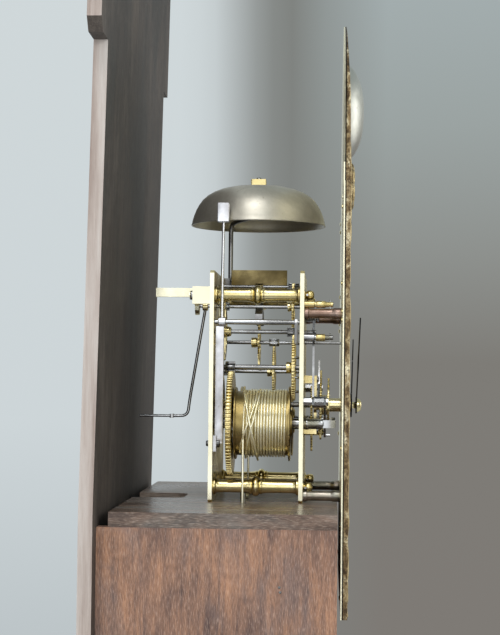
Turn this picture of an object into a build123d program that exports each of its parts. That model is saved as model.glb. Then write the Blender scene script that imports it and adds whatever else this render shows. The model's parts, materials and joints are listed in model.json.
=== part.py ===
"""An eight-day longcase clock with its hood lifted off, in millimetres.

Front is -Y, up is +Z and the origin is on the floor under the middle of the case.
The movement stands on the seatboard: going train on the right, strike on the left.
Heights of the movement and the dial are counted from the seatboard's top.
"""
import math
import os

from build123d import *

# Case
CASE_W = 318.0
CASE_D = 163.5
BOARD_T = 12.0
STRIP_T = 3.5
FRAME_T = 16.0
SEAT_T = 10.5
SEAT_D = 159.0
BACKBOARD_T = 10.0
BACKBOARD_TOP = 460.0
BACKBOARD_LEAN = 8.5
HOOD_CHEEK = 18.0
HOOD_CHEEK_DROP = 150.0
EAR_W = 33.0
EAR_LOW_LEFT = 326.0
EAR_LOW_RIGHT = 355.0
EAR_SLOPE = 9.0
BASE_W = 400.0
BASE_TOP = 500.0
BASE_LAP = 60.0
PLINTH_OUT = 12.0
PLINTH_H = 92.0
MOULD_OUT = 28.0
MOULD_H = 42.0
BASE_MOULD_H = 48.0
BASE_MOULD_LIP = 7.0
WALL_HOLE_R = 3.2
WALL_HOLE_H = 400.0

# Trunk door and its hinges
DOOR_W = 222.0
DOOR_H = 830.0
DOOR_OUT = 8.0
DOOR_IN = 6.0
DOOR_GAP = 1.0
DOOR_LIP = 7.0
DOOR_SILL = 92.0
DOOR_HEAD = 26.0
HINGE_L = 60.0
HINGE_INSET = 90.0
KNUCKLE_R = 3.4
HINGE_PIN_R = 1.2
HINGE_LEAF_W = 26.0
HINGE_LEAF_T = 1.3

# Seatboard
SLOT_W = 48.0
SLOT_START_Y = 33.0
SLOT_CORNER_R = 8.0
GUT_HOLE_R = 3.6
SEAT_BOLT_R = 2.2
SEAT_BOLT_DY = 9.5

# Plates and pillars
SIDE_FRONT = -82.5
FRONT_PLATE_Y = -60.0
PLATE_T = 3.1
PLATE_GAP = 65.1
PLATE_W = 126.0
PLATE_H = 175.0
PILLAR_X = 51.0
PILLAR_LOW = 11.5
PILLAR_HIGH = 157.0
PILLAR_R = 4.2
PILLAR_TENON_R = 2.6
KNOP_R = 7.7
TAPER_PIN_L = 17.0
PIVOT_CLEAR = 0.05
PIVOT_R = 1.0
RUN_CLEAR = 0.02

# Arbor radii
BARREL_ARBOR_R = 4.2
CENTRE_ARBOR_R = 2.4
GATHER_ARBOR_R = 1.6
PALLET_ARBOR_R = 1.3
ESCAPE_FRONT_R = 1.4
HAND_ARBOR_R = 1.5

# Arbor places, as (x, height above the seatboard)
STRIKE_BARREL = (-41.0, 59.1)
PIN_WHEEL = (-39.5, 102.0)
GATHERING = (-34.5, 129.3)
WARNING = (-20.5, 149.2)
FLY = (-8.0, 165.8)
GOING_BARREL = (41.0, 59.1)
CENTRE = (0.0, 73.0)
THIRD = (6.0, 99.0)
ESCAPE = (0.0, 121.8)
PALLETS = (0.0, 150.3)
HAMMER = (-59.0, 136.0)
MINUTE = (18.6, 50.8)
RACK_AT = (-49.0, 76.0)
HOOK_AT = (30.0, 143.0)
LIFT_AT = (47.0, 86.0)

# Tooth counts
STRIKE_GREAT_N, PIN_LEAVES, PIN_N, GATHER_LEAVES = 84, 8, 64, 8
GATHER_N, WARNING_LEAVES, WARNING_N, FLY_LEAVES = 56, 7, 49, 7
GOING_GREAT_N, CENTRE_LEAVES, CENTRE_N, THIRD_LEAVES = 96, 8, 60, 8
THIRD_N, ESCAPE_LEAVES, ESCAPE_N = 64, 8, 30
CANNON_N, MINUTE_N, MINUTE_LEAVES, HOUR_N = 36, 36, 6, 72
RATCHET_N = 24

# Barrels and gut lines
DRUM_R = 24.6
FLANGE_OUT = 4.0
FLANGE_T = 1.6
SQUARE_W = 6.0
GUT_D = 1.7
GUT_PITCH = 2.2
GUT_TURNS = 14
GUT_GAP = 0.3
WHEEL_T = 1.6
GREAT_T = 2.8

# Strike work
HAMMER_PIN_R = 20.0
HAMMER_PINS = 8
FLY_LENGTH = 44.0
FLY_WIDTH = 26.0
RACK_TOOTH_R = 48.6
RACK_TEETH = 14
RACK_STEP = 1.8
RACK_TAIL = 40.0
RACK_TAIL_TURN = -41.1
SNAIL_R = 23.5
SNAIL_STEP = 1.15

# Escapement, cock and crutch
ESCAPE_R = 18.6
PALLET_GAP = 0.9
PALLET_SPREAD = 46.0
COCK_REACH = 13.0
COCK_T = 3.2
COCK_W = 59.0
COCK_H = 13.5
SUSPENSION_REACH = 47.5
CRUTCH_H = 63.0
CRUTCH_GAP = 8.3
FORK_END = 59.5

# Work between the front plate and the dial
CANNON_R = 2.6
BRIDGE_TUBE_R = 4.2
HOUR_PIPE_R = 5.4
HOUR_PIPE_IN = 4.3
STUD_R = 2.0
STUD_SMALL_R = 1.2

# Dial and hands
DIAL_FOOT_L = 28.4
DIAL_FOOT_R = 3.7
DIAL_FOOT_LIP = 0.6
DIAL_T = 1.6
DIAL_W = 305.0
DIAL_LOW = -72.5
ARCH_R = 122.0
ARCH_RISE = 139.0
BORDER_W = 3.2
BORDER_T = 3.2
BOSS_R = 41.0
BOSS_H = 15.0
BOSS_PLACE = 305.0
CHAPTER_R = 141.0
CHAPTER_IN_R = 96.0
RING_T = 1.4
SECONDS_R = 32.0
SECONDS_IN_R = 21.0
SPANDREL_T = 3.6
SPANDREL_L = 44.0
SPANDREL_IN = 6.0
ARCH_CAST_T = 7.0
WINDING_R = 6.0
HAND_T = 1.2
HOUR_TURN = 55.0
MINUTE_TURN = -60.0
SECONDS_TURN = 200.0

# Bell and hammer
BELL_R = 53.4
BELL_H = 32.0
BELL_T = 2.2
BELL_RIM = 214.5
BELL_Y = -22.0
BELL_STUD_R = 2.0
STAND_X = 24.0
STAND_R = 1.9
HAMMER_ARM_DY = 6.0
HEAD_H = 14.0

# Weights
WEIGHT_R = 29.0
WEIGHT_H = 235.0
PULLEY_R = 24.0
PULLEY_DROP = 62.0
PULLEY_PIN_R = 2.4

# Places that follow from the sizes above
PLINTH_W = BASE_W + 2 * PLINTH_OUT
HALF = CASE_W / 2
BACK_Y = SIDE_FRONT + CASE_D
CASE_FRONT = SIDE_FRONT - STRIP_T
BASE_FRONT = CASE_FRONT - (BASE_W - CASE_W) / 2
PLINTH_FRONT = BASE_FRONT - PLINTH_OUT
DOOR_LOW = BASE_TOP + DOOR_SILL
MOULD_TOP = DOOR_LOW + DOOR_H + DOOR_HEAD + MOULD_H
SEAT_Z = MOULD_TOP + HOOD_CHEEK_DROP
SIDE_TOP = SEAT_Z - SEAT_T
TRUNK_LOW = BASE_TOP - BASE_LAP
HINGE_X = DOOR_W / 2 + KNUCKLE_R + 1.2
HINGE_Y = CASE_FRONT - DOOR_OUT / 2
IN_FRONT = FRONT_PLATE_Y + PLATE_T
BACK_PLATE_Y = IN_FRONT + PLATE_GAP
MID_Y = IN_FRONT + PLATE_GAP / 2
COCK_FRONT = BACK_PLATE_Y + PLATE_T
DIAL_BACK_Y = FRONT_PLATE_Y - DIAL_FOOT_L
DIAL_FRONT = DIAL_BACK_Y - DIAL_T
SPRING_H = DIAL_W + ARCH_RISE - ARCH_R
PULLEY_Z = SIDE_TOP - PULLEY_DROP
GUT_START_Y = IN_FRONT + 9.6
FALL_Y = GUT_START_Y + GUT_PITCH * (GUT_TURNS + 0.5) + GUT_GAP
PLATE_HOLES = (STRIKE_BARREL, PIN_WHEEL, GATHERING, WARNING, FLY, GOING_BARREL, CENTRE, THIRD, ESCAPE, HAMMER)
DIAL_FEET = ((-57.0, 143.0), (57.0, 143.0), (-57.0, 5.5), (57.0, 5.5))

nodes = {}


def add(name, *shapes):
    """Keeps the solids of one node, moved so that the origin is under the middle of the case."""
    place = Pos(0, -(PLINTH_FRONT + BACK_Y + BACKBOARD_T) / 2, 0)
    nodes[name] = Compound(children=[place * solid for shape in shapes for solid in shape.solids()])


# Planes of the movement, by their distance from a plate

def ahead(gap):
    """In front of the front plate."""
    return FRONT_PLATE_Y - gap


def inside(gap):
    """Behind the front plate, between the plates."""
    return IN_FRONT + gap


def near_back(gap):
    """In front of the back plate, between the plates."""
    return BACK_PLATE_Y - gap


# Shapes

def block(x0, x1, y0, y1, z0, z1):
    """A box given by its lowest and highest corners."""
    return Pos((x0 + x1) / 2, (y0 + y1) / 2, (z0 + z1) / 2) * Box(x1 - x0, y1 - y0, z1 - z0)


def facing(x, y, h):
    """A drawing plane that looks forward, h above the seatboard."""
    return Plane(origin=(x, y, SEAT_Z + h), x_dir=(1, 0, 0), z_dir=(0, -1, 0))


def slab(sketch, x, h, y0, y1):
    """A flat outline seen from the front, solid from y0 in front to y1 behind."""
    return extrude(facing(x, y1, h) * sketch, amount=y1 - y0)


def post(r, x, y, z0, z1, flats=8):
    """A round upright bar."""
    return extrude(Plane(origin=(x, y, z0)) * RegularPolygon(r, flats), amount=z1 - z0)


def outline(*points):
    """A flat shape from its corners."""
    return make_face(Polyline(*points, close=True))


def annulus(r_out, r_in, flats):
    """Flat ring."""
    return RegularPolygon(r_out, flats) - RegularPolygon(r_in, flats)


def sides_for(r):
    """How many flats a round piece gets: small parts are drawn with few."""
    return 6 if r < 1.25 else 8 if r < 4 else 10 if r < 9 else 16 if r < 24 else 24


def rod(r, place, y0, y1):
    """A round bar that runs front to back at an arbor's place."""
    return slab(RegularPolygon(r, sides_for(r)), *place, y0, y1)


def journal(r, place, y0, y1):
    """A truly round bar, for the pivot that turns in its hole."""
    return slab(Circle(r), *place, y0, y1)


def bore(r, place, y0, y1):
    """The hole for a round bar of radius r."""
    return slab(RegularPolygon(r, sides_for(r), major_radius=False), *place, y0, y1)


def facet_band(level_a, level_b):
    """The flats between two rings of corners; a ring of one corner makes triangles."""
    count = max(len(level_a), len(level_b))
    faces = []
    for i in range(count):
        k = (i + 1) % count
        corners = [level_a[i % len(level_a)], level_a[k % len(level_a)], level_b[k % len(level_b)],
                   level_b[i % len(level_b)]]
        unique = [p for n, p in enumerate(corners) if (p - corners[n - 1]).length > 1e-6]
        faces.append(Face(Wire.make_polygon(unique, close=True)))
    return faces


def spun(points, origin, axis_dir, flats):
    """A many-sided turned solid from (radius, distance along the axis); a ring if it never meets the axis."""
    plane = Plane(origin=origin, z_dir=axis_dir)
    closed = min(r for r, _ in points) > 1e-6
    levels = []
    for r, d in points:
        n = flats if r > 1e-6 else 1
        angles = [2 * math.pi * i / flats for i in range(n)]
        levels.append([plane.from_local_coords(Vector(r * math.cos(a), r * math.sin(a), d)) for a in angles])
    faces = []
    for a, b in zip(levels, levels[1:] + levels[:1] if closed else levels[1:]):
        faces += facet_band(a, b)
    solid = Solid(Shell(faces))
    return solid if solid.volume > 0 else -solid


def turned(points, place, y0, flats=8):
    """A solid turned about a front to back axis, from (radius, distance behind y0)."""
    ends = [(0, points[0][1])] + points + [(0, points[-1][1])]
    return spun(ends, (place[0], y0, SEAT_Z + place[1]), (0, 1, 0), flats)


def upright(points, x, y, z0, flats=16):
    """A solid turned about a vertical axis, from (radius, height above z0)."""
    ends = [(0, points[0][1])] + points + [(0, points[-1][1])]
    return spun(ends, (x, y, z0), (0, 0, 1), flats)


def bar(points, r, bend):
    """A round wire along straight runs with rounded corners."""
    path = FilletPolyline(*points, radius=bend) if len(points) > 2 else Line(*points)
    start = Plane(origin=path @ 0, z_dir=path % 0)
    return sweep(start * RegularPolygon(r, 6), path=path)


# Case

def moulding(profile, half_w, front, z_top):
    """A mitred moulding round the front and both sides, from (out, down) points."""
    path = Polyline((-half_w, BACK_Y, z_top), (-half_w, front, z_top), (half_w, front, z_top),
                    (half_w, BACK_Y, z_top))
    start = Plane(origin=(-half_w, BACK_Y, z_top), x_dir=(-1, 0, 0), z_dir=(0, -1, 0))
    section = make_face(start * Polyline([(x, -y) for x, y in profile], close=True))
    return sweep(section, path=path, transition=Transition.RIGHT)


def back_slice(x0, x1, z0, z1):
    """A stretch of the backboard, which leans forward above the seatboard."""
    top, y0, y1, lean = SEAT_Z + BACKBOARD_TOP, BACK_Y, BACK_Y + BACKBOARD_T, BACKBOARD_LEAN
    side = [(y0, 0), (y1, 0), (y1, SEAT_Z), (y1 - lean, top), (y0 - lean, top), (y0, SEAT_Z)]
    sideways = Plane(origin=(x0, 0, 0), x_dir=(0, 1, 0), z_dir=(1, 0, 0))
    plank = extrude(sideways * outline(*side), amount=x1 - x0)
    return plank & block(x0, x1, y0 - lean - 1, y1 + 1, z0, z1)


def backboard():
    """Full-height board of the trunk's width, with the wall screw's hole."""
    board = back_slice(-HALF, HALF, 0, SEAT_Z + BACKBOARD_TOP)
    ends = (BACK_Y - BACKBOARD_LEAN - 1, BACK_Y + BACKBOARD_T + 1)
    return board - journal(WALL_HOLE_R, (0, WALL_HOLE_H), *ends)


def hood_cheeks():
    """Pieces glued to the backboard's edges, each with an ear that the hood's side slides under."""
    cheeks = []
    for side, low in ((-1, SEAT_Z + EAR_LOW_LEFT), (1, SEAT_Z + EAR_LOW_RIGHT)):
        x0, x1 = sorted((side * HALF, side * (HALF + HOOD_CHEEK)))
        cheek = back_slice(x0, x1, MOULD_TOP, SEAT_Z + BACKBOARD_TOP)
        x2, x3 = sorted((side * (HALF + HOOD_CHEEK), side * (HALF + HOOD_CHEEK + EAR_W)))
        ear = back_slice(x2, x3, low, SEAT_Z + BACKBOARD_TOP)
        if side < 0:
            corner = outline((x2, low), (x2 + EAR_SLOPE, low), (x2, low + EAR_SLOPE))
            cutter = Plane(origin=(0, BACK_Y + BACKBOARD_T + 1, 0), x_dir=(1, 0, 0), z_dir=(0, -1, 0))
            ear -= extrude(cutter * corner, amount=BACKBOARD_T + BACKBOARD_LEAN + 2)
        cheeks.append(cheek + ear)
    return cheeks


def gut_xs():
    """Where the runs of gut pass the seatboard: fall and tie of each weight, strike first."""
    fall = DRUM_R + GUT_D / 2
    span = 2 * PULLEY_R
    return [(place[0] - fall, place[0] - fall + span) for place in (STRIKE_BARREL, GOING_BARREL)]


def seatboard():
    """Board across the tops of the trunk sides, with the pendulum slot and the gut holes."""
    y0, low, top = CASE_FRONT, SIDE_TOP - 1, SEAT_Z + 1
    board = block(-HALF + 1, HALF - 1, y0, y0 + SEAT_D, SIDE_TOP, SEAT_Z)
    half, r = SLOT_W / 2, SLOT_CORNER_R
    board -= block(-half, half, SLOT_START_Y + r, y0 + SEAT_D + 1, low, top)
    board -= block(-half + r, half - r, SLOT_START_Y, SLOT_START_Y + r + 1, low, top)
    for x in (-half + r, half - r):
        board -= post(r, x, SLOT_START_Y + r, low, top, 16)
    for fall, tie in gut_xs():
        board -= post(GUT_HOLE_R, fall, FALL_Y, low, top) + post(GUT_HOLE_R, tie, FALL_Y, low, top)
    for x in (-PILLAR_X, PILLAR_X):
        board -= post(SEAT_BOLT_R + 0.3, x, MID_Y + SEAT_BOLT_DY, low, top)
    return board


def trunk():
    """Sides, the facing strips on their edges, and the frame that the door closes."""
    for name, side in (("trunk_left_side", -1), ("trunk_right_side", 1)):
        x0, x1 = sorted((side * HALF, side * (HALF - BOARD_T)))
        board = block(x0, x1, SIDE_FRONT, BACK_Y, TRUNK_LOW, SIDE_TOP)
        strip = block(x0, x1, CASE_FRONT, SIDE_FRONT, TRUNK_LOW, SIDE_TOP)
        add(name, board, strip)
    inner = HALF - BOARD_T
    frame = block(-inner, inner, CASE_FRONT, CASE_FRONT + FRAME_T, TRUNK_LOW, SIDE_TOP)
    open_w = DOOR_W / 2 - DOOR_LIP
    frame -= block(-open_w, open_w, CASE_FRONT - 1, CASE_FRONT + FRAME_T + 1, DOOR_LOW + DOOR_LIP,
                   DOOR_LOW + DOOR_H - DOOR_LIP)
    add("trunk_front_frame", frame)


def mouldings():
    """The moulding that carries the hood, and the one on top of the base."""
    m, h = MOULD_OUT, MOULD_H
    top = [(0, 0), (m, 0), (m, -6), (m - 4, -8), (m - 7, -18), (m - 16, -28), (m - 22, -32), (m - 22, -36),
           (m - 24, -h), (0, -h)]
    out = (BASE_W - CASE_W) / 2 + BASE_MOULD_LIP
    b = BASE_MOULD_H
    low = [(0, 0), (4, 0), (7, -4), (9, -14), (16, -26), (out - 8, -34), (out - 8, -38), (out, -41),
           (out, -b), (0, -b)]
    return [moulding(top, HALF, CASE_FRONT, MOULD_TOP), moulding(low, HALF, CASE_FRONT, BASE_TOP + b)]


def base():
    """Box below the trunk, the strips that widen its back, and a skirting round its foot."""
    half, t = BASE_W / 2, BOARD_T
    pieces = []
    for side in (-1, 1):
        x0, x1 = sorted((side * half, side * (half - t)))
        pieces.append(block(x0, x1, BASE_FRONT + t, BACK_Y, 0, BASE_TOP))
        x2, x3 = sorted((side * half, side * HALF))
        pieces.append(block(x2, x3, BACK_Y, BACK_Y + BACKBOARD_T, 0, BASE_TOP))
    add("base_sides", *pieces)
    add("base_front", block(-half, half, BASE_FRONT, BASE_FRONT + t, 0, BASE_TOP))
    add("bottom_board", block(-half + t, half - t, BASE_FRONT + t, BACK_Y, PLINTH_H, PLINTH_H + t))
    out = PLINTH_OUT
    profile = [(0, 0), (3, 0), (6, -4), (6, -8), (out, -14), (out, -PLINTH_H), (0, -PLINTH_H)]
    add("plinth", moulding(profile, half, BASE_FRONT, PLINTH_H))


def door():
    """Lipped trunk door: its back stands inside the frame's opening."""
    half, top = DOOR_W / 2, DOOR_LOW + DOOR_H
    lip = block(-half, half, CASE_FRONT - DOOR_OUT, CASE_FRONT - 0.05, DOOR_LOW, top)
    lip = chamfer(lip.faces().sort_by(Axis.Y)[0].edges(), 3.5)
    edge = DOOR_LIP + DOOR_GAP
    inner = half - edge
    back = block(-inner, inner, CASE_FRONT - 1, CASE_FRONT + DOOR_IN, DOOR_LOW + edge, top - edge)
    add("trunk_door", lip + back)


def hinges():
    """Two butt hinges: frame leaf with outer knuckles and pin, door leaf with the middle knuckle."""
    x, y, r, third = HINGE_X, HINGE_Y, KNUCKLE_R, HINGE_L / 3
    fixed, moving = [], []
    for z in (DOOR_LOW + HINGE_INSET, DOOR_LOW + DOOR_H - HINGE_INSET - HINGE_L):
        low, high = z + third, z + 2 * third
        leaf = block(x, x + HINGE_LEAF_W, CASE_FRONT - HINGE_LEAF_T, CASE_FRONT, z, z + HINGE_L)
        leaf += post(r, x, y, z, z + HINGE_L)
        leaf -= block(x - 5, x + r + 0.5, y - 5, CASE_FRONT + 1, low - 0.3, high + 0.3)
        pin = extrude(Plane(origin=(x, y, z)) * Circle(HINGE_PIN_R), amount=HINGE_L)
        fixed.append(leaf + pin)
        knuckle = post(r, x, y, low, high)
        knuckle += block(DOOR_W / 2, x, y - 1, y + 1, low, high)
        knuckle -= extrude(Plane(origin=(x, y, z)) * Circle(HINGE_PIN_R + 0.1), amount=HINGE_L)
        moving.append(knuckle)
    add("frame_hinges", *fixed)
    add("door_hinges", *moving)


def case():
    add("backboard", backboard())
    add("hood_cheeks", *hood_cheeks())
    add("seatboard", seatboard())
    trunk()
    add("case_mouldings", *mouldings())
    base()
    door()
    hinges()


# Wheelwork

def mesh_phase(teeth_a, phase_a, direction, teeth_b):
    """Angle of one tooth of b that stands in mesh with a, in degrees; direction runs from a to b."""
    past = ((direction - phase_a) * teeth_a / 360) % 1
    return direction + 180 - ((0.5 - past) % 1) * 360 / teeth_b


def heading(a, b):
    """Direction from arbor a to arbor b, seen from the front."""
    return math.degrees(math.atan2(b[1] - a[1], b[0] - a[0]))


def polar(r, degrees):
    """A point given by radius and angle."""
    a = math.radians(degrees)
    return (r * math.cos(a), r * math.sin(a))


def off(place, r, degrees):
    """The place at radius r and an angle from another place."""
    dx, dh = polar(r, degrees)
    return (place[0] + dx, place[1] + dh)


def pair(a, b, teeth_a, teeth_b, phase_a):
    """Pitch radii of two meshed wheels from their centre distance, and the phase of b in mesh with a."""
    d = math.hypot(b[0] - a[0], b[1] - a[1])
    each = d / (teeth_a + teeth_b)
    return each * teeth_a, each * teeth_b, mesh_phase(teeth_a, phase_a, heading(a, b), teeth_b)


def ring_of_teeth(teeth, corners, phase):
    """Toothed outline; corners are (radius, share of the pitch from the tooth's middle)."""
    step = 360 / teeth
    return outline(*[polar(r, phase + (i + share) * step) for i in range(teeth) for r, share in corners])


def crossings(rim_r, hub_r, count, arm, phase):
    """The openings between the arms of a wheel."""
    openings = Sketch()
    for i in range(count):
        start = phase + i * 360 / count
        end = start + 360 / count
        outer, inner = math.degrees(arm / 2 / rim_r), math.degrees(arm / 2 / hub_r)
        span = end - start - 2 * outer
        rim = [polar(rim_r, start + outer + span * k / 4) for k in range(5)]
        hub = [polar(hub_r, end - inner), polar(hub_r, (start + end) / 2), polar(hub_r, start + inner)]
        openings += outline(*rim, *hub)
    return openings


def wheel(place, teeth, pitch_r, y0, t, phase=0.0, arms=4, hub_r=4.6):
    """Crossed-out brass wheel of thickness t."""
    m = 2 * pitch_r / teeth
    root, tip, rim, arm = pitch_r - 1.3 * m, pitch_r + 0.75 * m, 3.4, 2.6
    disc = ring_of_teeth(teeth, ((root, -0.5), (tip, 0.0)), phase)
    if arms:
        disc -= crossings(root - rim, hub_r, arms, arm, phase)
    return slab(disc, *place, y0, y0 + t)


def pinion(place, leaves, pitch_r, y0, y1, phase):
    """Steel pinion with straight leaves, solid to the arbor."""
    m = 2 * pitch_r / leaves
    corners = ((pitch_r - 1.25 * m, -0.2), (pitch_r + 0.7 * m, 0.0), (pitch_r - 1.25 * m, 0.2))
    return slab(ring_of_teeth(leaves, corners, phase), *place, y0, y1)


def arbor_bar(place, r):
    """Round arbor between the plates, with a pivot in each."""
    shaft = rod(r, place, inside(0.35), near_back(0.35))
    front = rod(PIVOT_R, place, FRONT_PLATE_Y + 0.3, inside(1))
    return shaft + front + journal(PIVOT_R, place, near_back(1), COCK_FRONT - 0.3)


def hole_r(place):
    """Radius of the pivot hole in the back plate."""
    wide = {STRIKE_BARREL: BARREL_ARBOR_R, GOING_BARREL: BARREL_ARBOR_R}
    return wide.get(place, PIVOT_R) + PIVOT_CLEAR


def front_hole_r(place):
    """As hole_r, for arbors that carry on through the front plate."""
    wide = {CENTRE: CENTRE_ARBOR_R, GATHERING: GATHER_ARBOR_R, ESCAPE: ESCAPE_FRONT_R}
    return wide.get(place, hole_r(place) - PIVOT_CLEAR) + PIVOT_CLEAR


def pillar_places():
    return [(sx * PILLAR_X, h) for sx in (-1, 1) for h in (PILLAR_LOW, PILLAR_HIGH)]


def plates():
    """The two brass plates with their pivot holes and the pillars' holes."""
    sheet = Pos(0, PLATE_H / 2) * Rectangle(PLATE_W, PLATE_H)
    sheet = chamfer(sheet.vertices(), 2)
    front = slab(sheet, 0, 0, FRONT_PLATE_Y, IN_FRONT)
    back = slab(sheet, 0, 0, BACK_PLATE_Y, COCK_FRONT)
    for place in PLATE_HOLES:
        front -= bore(front_hole_r(place), place, FRONT_PLATE_Y - 1, IN_FRONT + 1)
        back -= bore(hole_r(place), place, BACK_PLATE_Y - 1, COCK_FRONT + 1)
    for place in pillar_places():
        front -= bore(PILLAR_TENON_R, place, FRONT_PLATE_Y - 1, IN_FRONT + 1)
    front -= bore(PIVOT_R + PIVOT_CLEAR, PALLETS, FRONT_PLATE_Y - 1, IN_FRONT + 1)
    back -= slab(Rectangle(18, 16), *PALLETS, BACK_PLATE_Y - 1, COCK_FRONT + 1)
    add("front_plate", front)
    add("back_plate", back)


def pillars():
    """Knopped pillars, riveted to the back plate and pinned in front of the front plate."""
    r, mid, tail = PILLAR_R, PLATE_GAP / 2, 6.0
    solids, pins = [], []
    for place in pillar_places():
        half = [(r + 2.2, 0), (r + 2.2, 2), (r + 0.6, 3.4), (r, 7), (r + 0.7, mid - 7), (KNOP_R, mid - 2.4)]
        back = [(q, PLATE_GAP - d) for q, d in reversed(half)]
        tenon = [(PILLAR_TENON_R, -PLATE_T - tail), (PILLAR_TENON_R, 0)]
        start = (place[0] - TAPER_PIN_L / 2, ahead(2.2), SEAT_Z + place[1])
        hole = spun([(0, 0), (0.95, 0), (0.95, TAPER_PIN_L), (0, TAPER_PIN_L)], start, (1, 0, 0), 6)
        solids.append(turned(tenon + half + back, place, IN_FRONT) - hole)
        pins.append(spun([(0, 0), (0.95, 0), (0.7, TAPER_PIN_L), (0, TAPER_PIN_L)], start, (1, 0, 0), 6))
    add("pillars", *solids)
    add("taper_pins", *pins)


def seatboard_bolts():
    """Bolts up through the seatboard into the two lower pillars."""
    y, top = MID_Y + SEAT_BOLT_DY, SEAT_Z + PILLAR_LOW - PILLAR_R - 0.8
    shanks = [post(SEAT_BOLT_R, x, y, SIDE_TOP, top) for x in (-PILLAR_X, PILLAR_X)]
    heads = [post(5.5, x, y, SIDE_TOP - 3.4, SIDE_TOP, 6) for x in (-PILLAR_X, PILLAR_X)]
    add("seatboard_bolts", *[shank + head for shank, head in zip(shanks, heads)])


def barrel(place, name, great_n, pitch_r, great_y):
    """Barrel with end flanges, ratchet wheel and winding square, and its great wheel."""
    y0, y1 = inside(8.4), near_back(17.2)
    body = rod(DRUM_R - 0.05, place, y0, y1) + rod(DRUM_R + FLANGE_OUT, place, y0 - FLANGE_T, y0)
    body += rod(DRUM_R + FLANGE_OUT - 1, place, y1, y1 + FLANGE_T)
    click_y = y1 + FLANGE_T
    body += slab(ring_of_teeth(RATCHET_N, ((18.0, 0.0), (20.5, 0.93)), 0), *place, click_y, click_y + 1.8)
    body += rod(BARREL_ARBOR_R, place, ahead(15), near_back(1))
    body += journal(BARREL_ARBOR_R, place, near_back(1), COCK_FRONT)
    body += slab(Rectangle(SQUARE_W, SQUARE_W), *place, DIAL_BACK_Y + 4, ahead(15))
    add(name + "_barrel", body)
    great = wheel(place, great_n, pitch_r, great_y, GREAT_T, 0, 0)
    add(name + "_great_wheel", great - bore(BARREL_ARBOR_R, place, great_y - 1, great_y + GREAT_T + 1))


def strike_train():
    """Barrel, pin wheel, gathering wheel, warning wheel and fly, in mesh one after another."""
    great_r, pin_pr, pin_ph = pair(STRIKE_BARREL, PIN_WHEEL, STRIKE_GREAT_N, PIN_LEAVES, 0)
    barrel(STRIKE_BARREL, "strike", STRIKE_GREAT_N, great_r, near_back(13.2))
    pin_r, gather_pr, gather_ph = pair(PIN_WHEEL, GATHERING, PIN_N, GATHER_LEAVES, 0)
    body = arbor_bar(PIN_WHEEL, 2.0) + rod(4.2, PIN_WHEEL, inside(6), inside(10.5))
    body += pinion(PIN_WHEEL, PIN_LEAVES, pin_pr, near_back(15.2), near_back(7.7), pin_ph)
    body += wheel(PIN_WHEEL, PIN_N, pin_r, inside(4.5), WHEEL_T)
    for i in range(HAMMER_PINS):
        body += rod(0.9, off(PIN_WHEEL, HAMMER_PIN_R, 360 * (i + 0.5) / HAMMER_PINS), inside(1.0), inside(5))
    add("pin_wheel", body)
    gather_r, warn_pr, warn_ph = pair(GATHERING, WARNING, GATHER_N, WARNING_LEAVES, 0)
    body = arbor_bar(GATHERING, 1.7)
    body += pinion(GATHERING, GATHER_LEAVES, gather_pr, inside(2.4), inside(10.4), gather_ph)
    body += wheel(GATHERING, GATHER_N, gather_r, near_back(6.8), WHEEL_T)
    body += rod(4.0, GATHERING, near_back(12.2), near_back(6.8))
    body += rod(GATHER_ARBOR_R, GATHERING, ahead(9), inside(1))
    add("gathering_wheel", body)
    warn_r, fly_pr, fly_ph = pair(WARNING, FLY, WARNING_N, FLY_LEAVES, 0)
    body = arbor_bar(WARNING, 1.5) + rod(3.4, WARNING, inside(7), inside(10.4))
    body += pinion(WARNING, WARNING_LEAVES, warn_pr, near_back(9.2), near_back(2.2), warn_ph)
    body += wheel(WARNING, WARNING_N, warn_r, inside(5.5), WHEEL_T)
    add("warning_wheel", body)
    vane = inside(11.4)
    body = arbor_bar(FLY, 1.3) + pinion(FLY, FLY_LEAVES, fly_pr, inside(1.9), inside(10.4), fly_ph)
    body += slab(Rectangle(0.7, FLY_WIDTH), *FLY, vane, vane + FLY_LENGTH)
    body += rod(2.6, FLY, vane + FLY_LENGTH / 2 - 3, vane + FLY_LENGTH / 2 + 3)
    add("fly", body)


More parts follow.
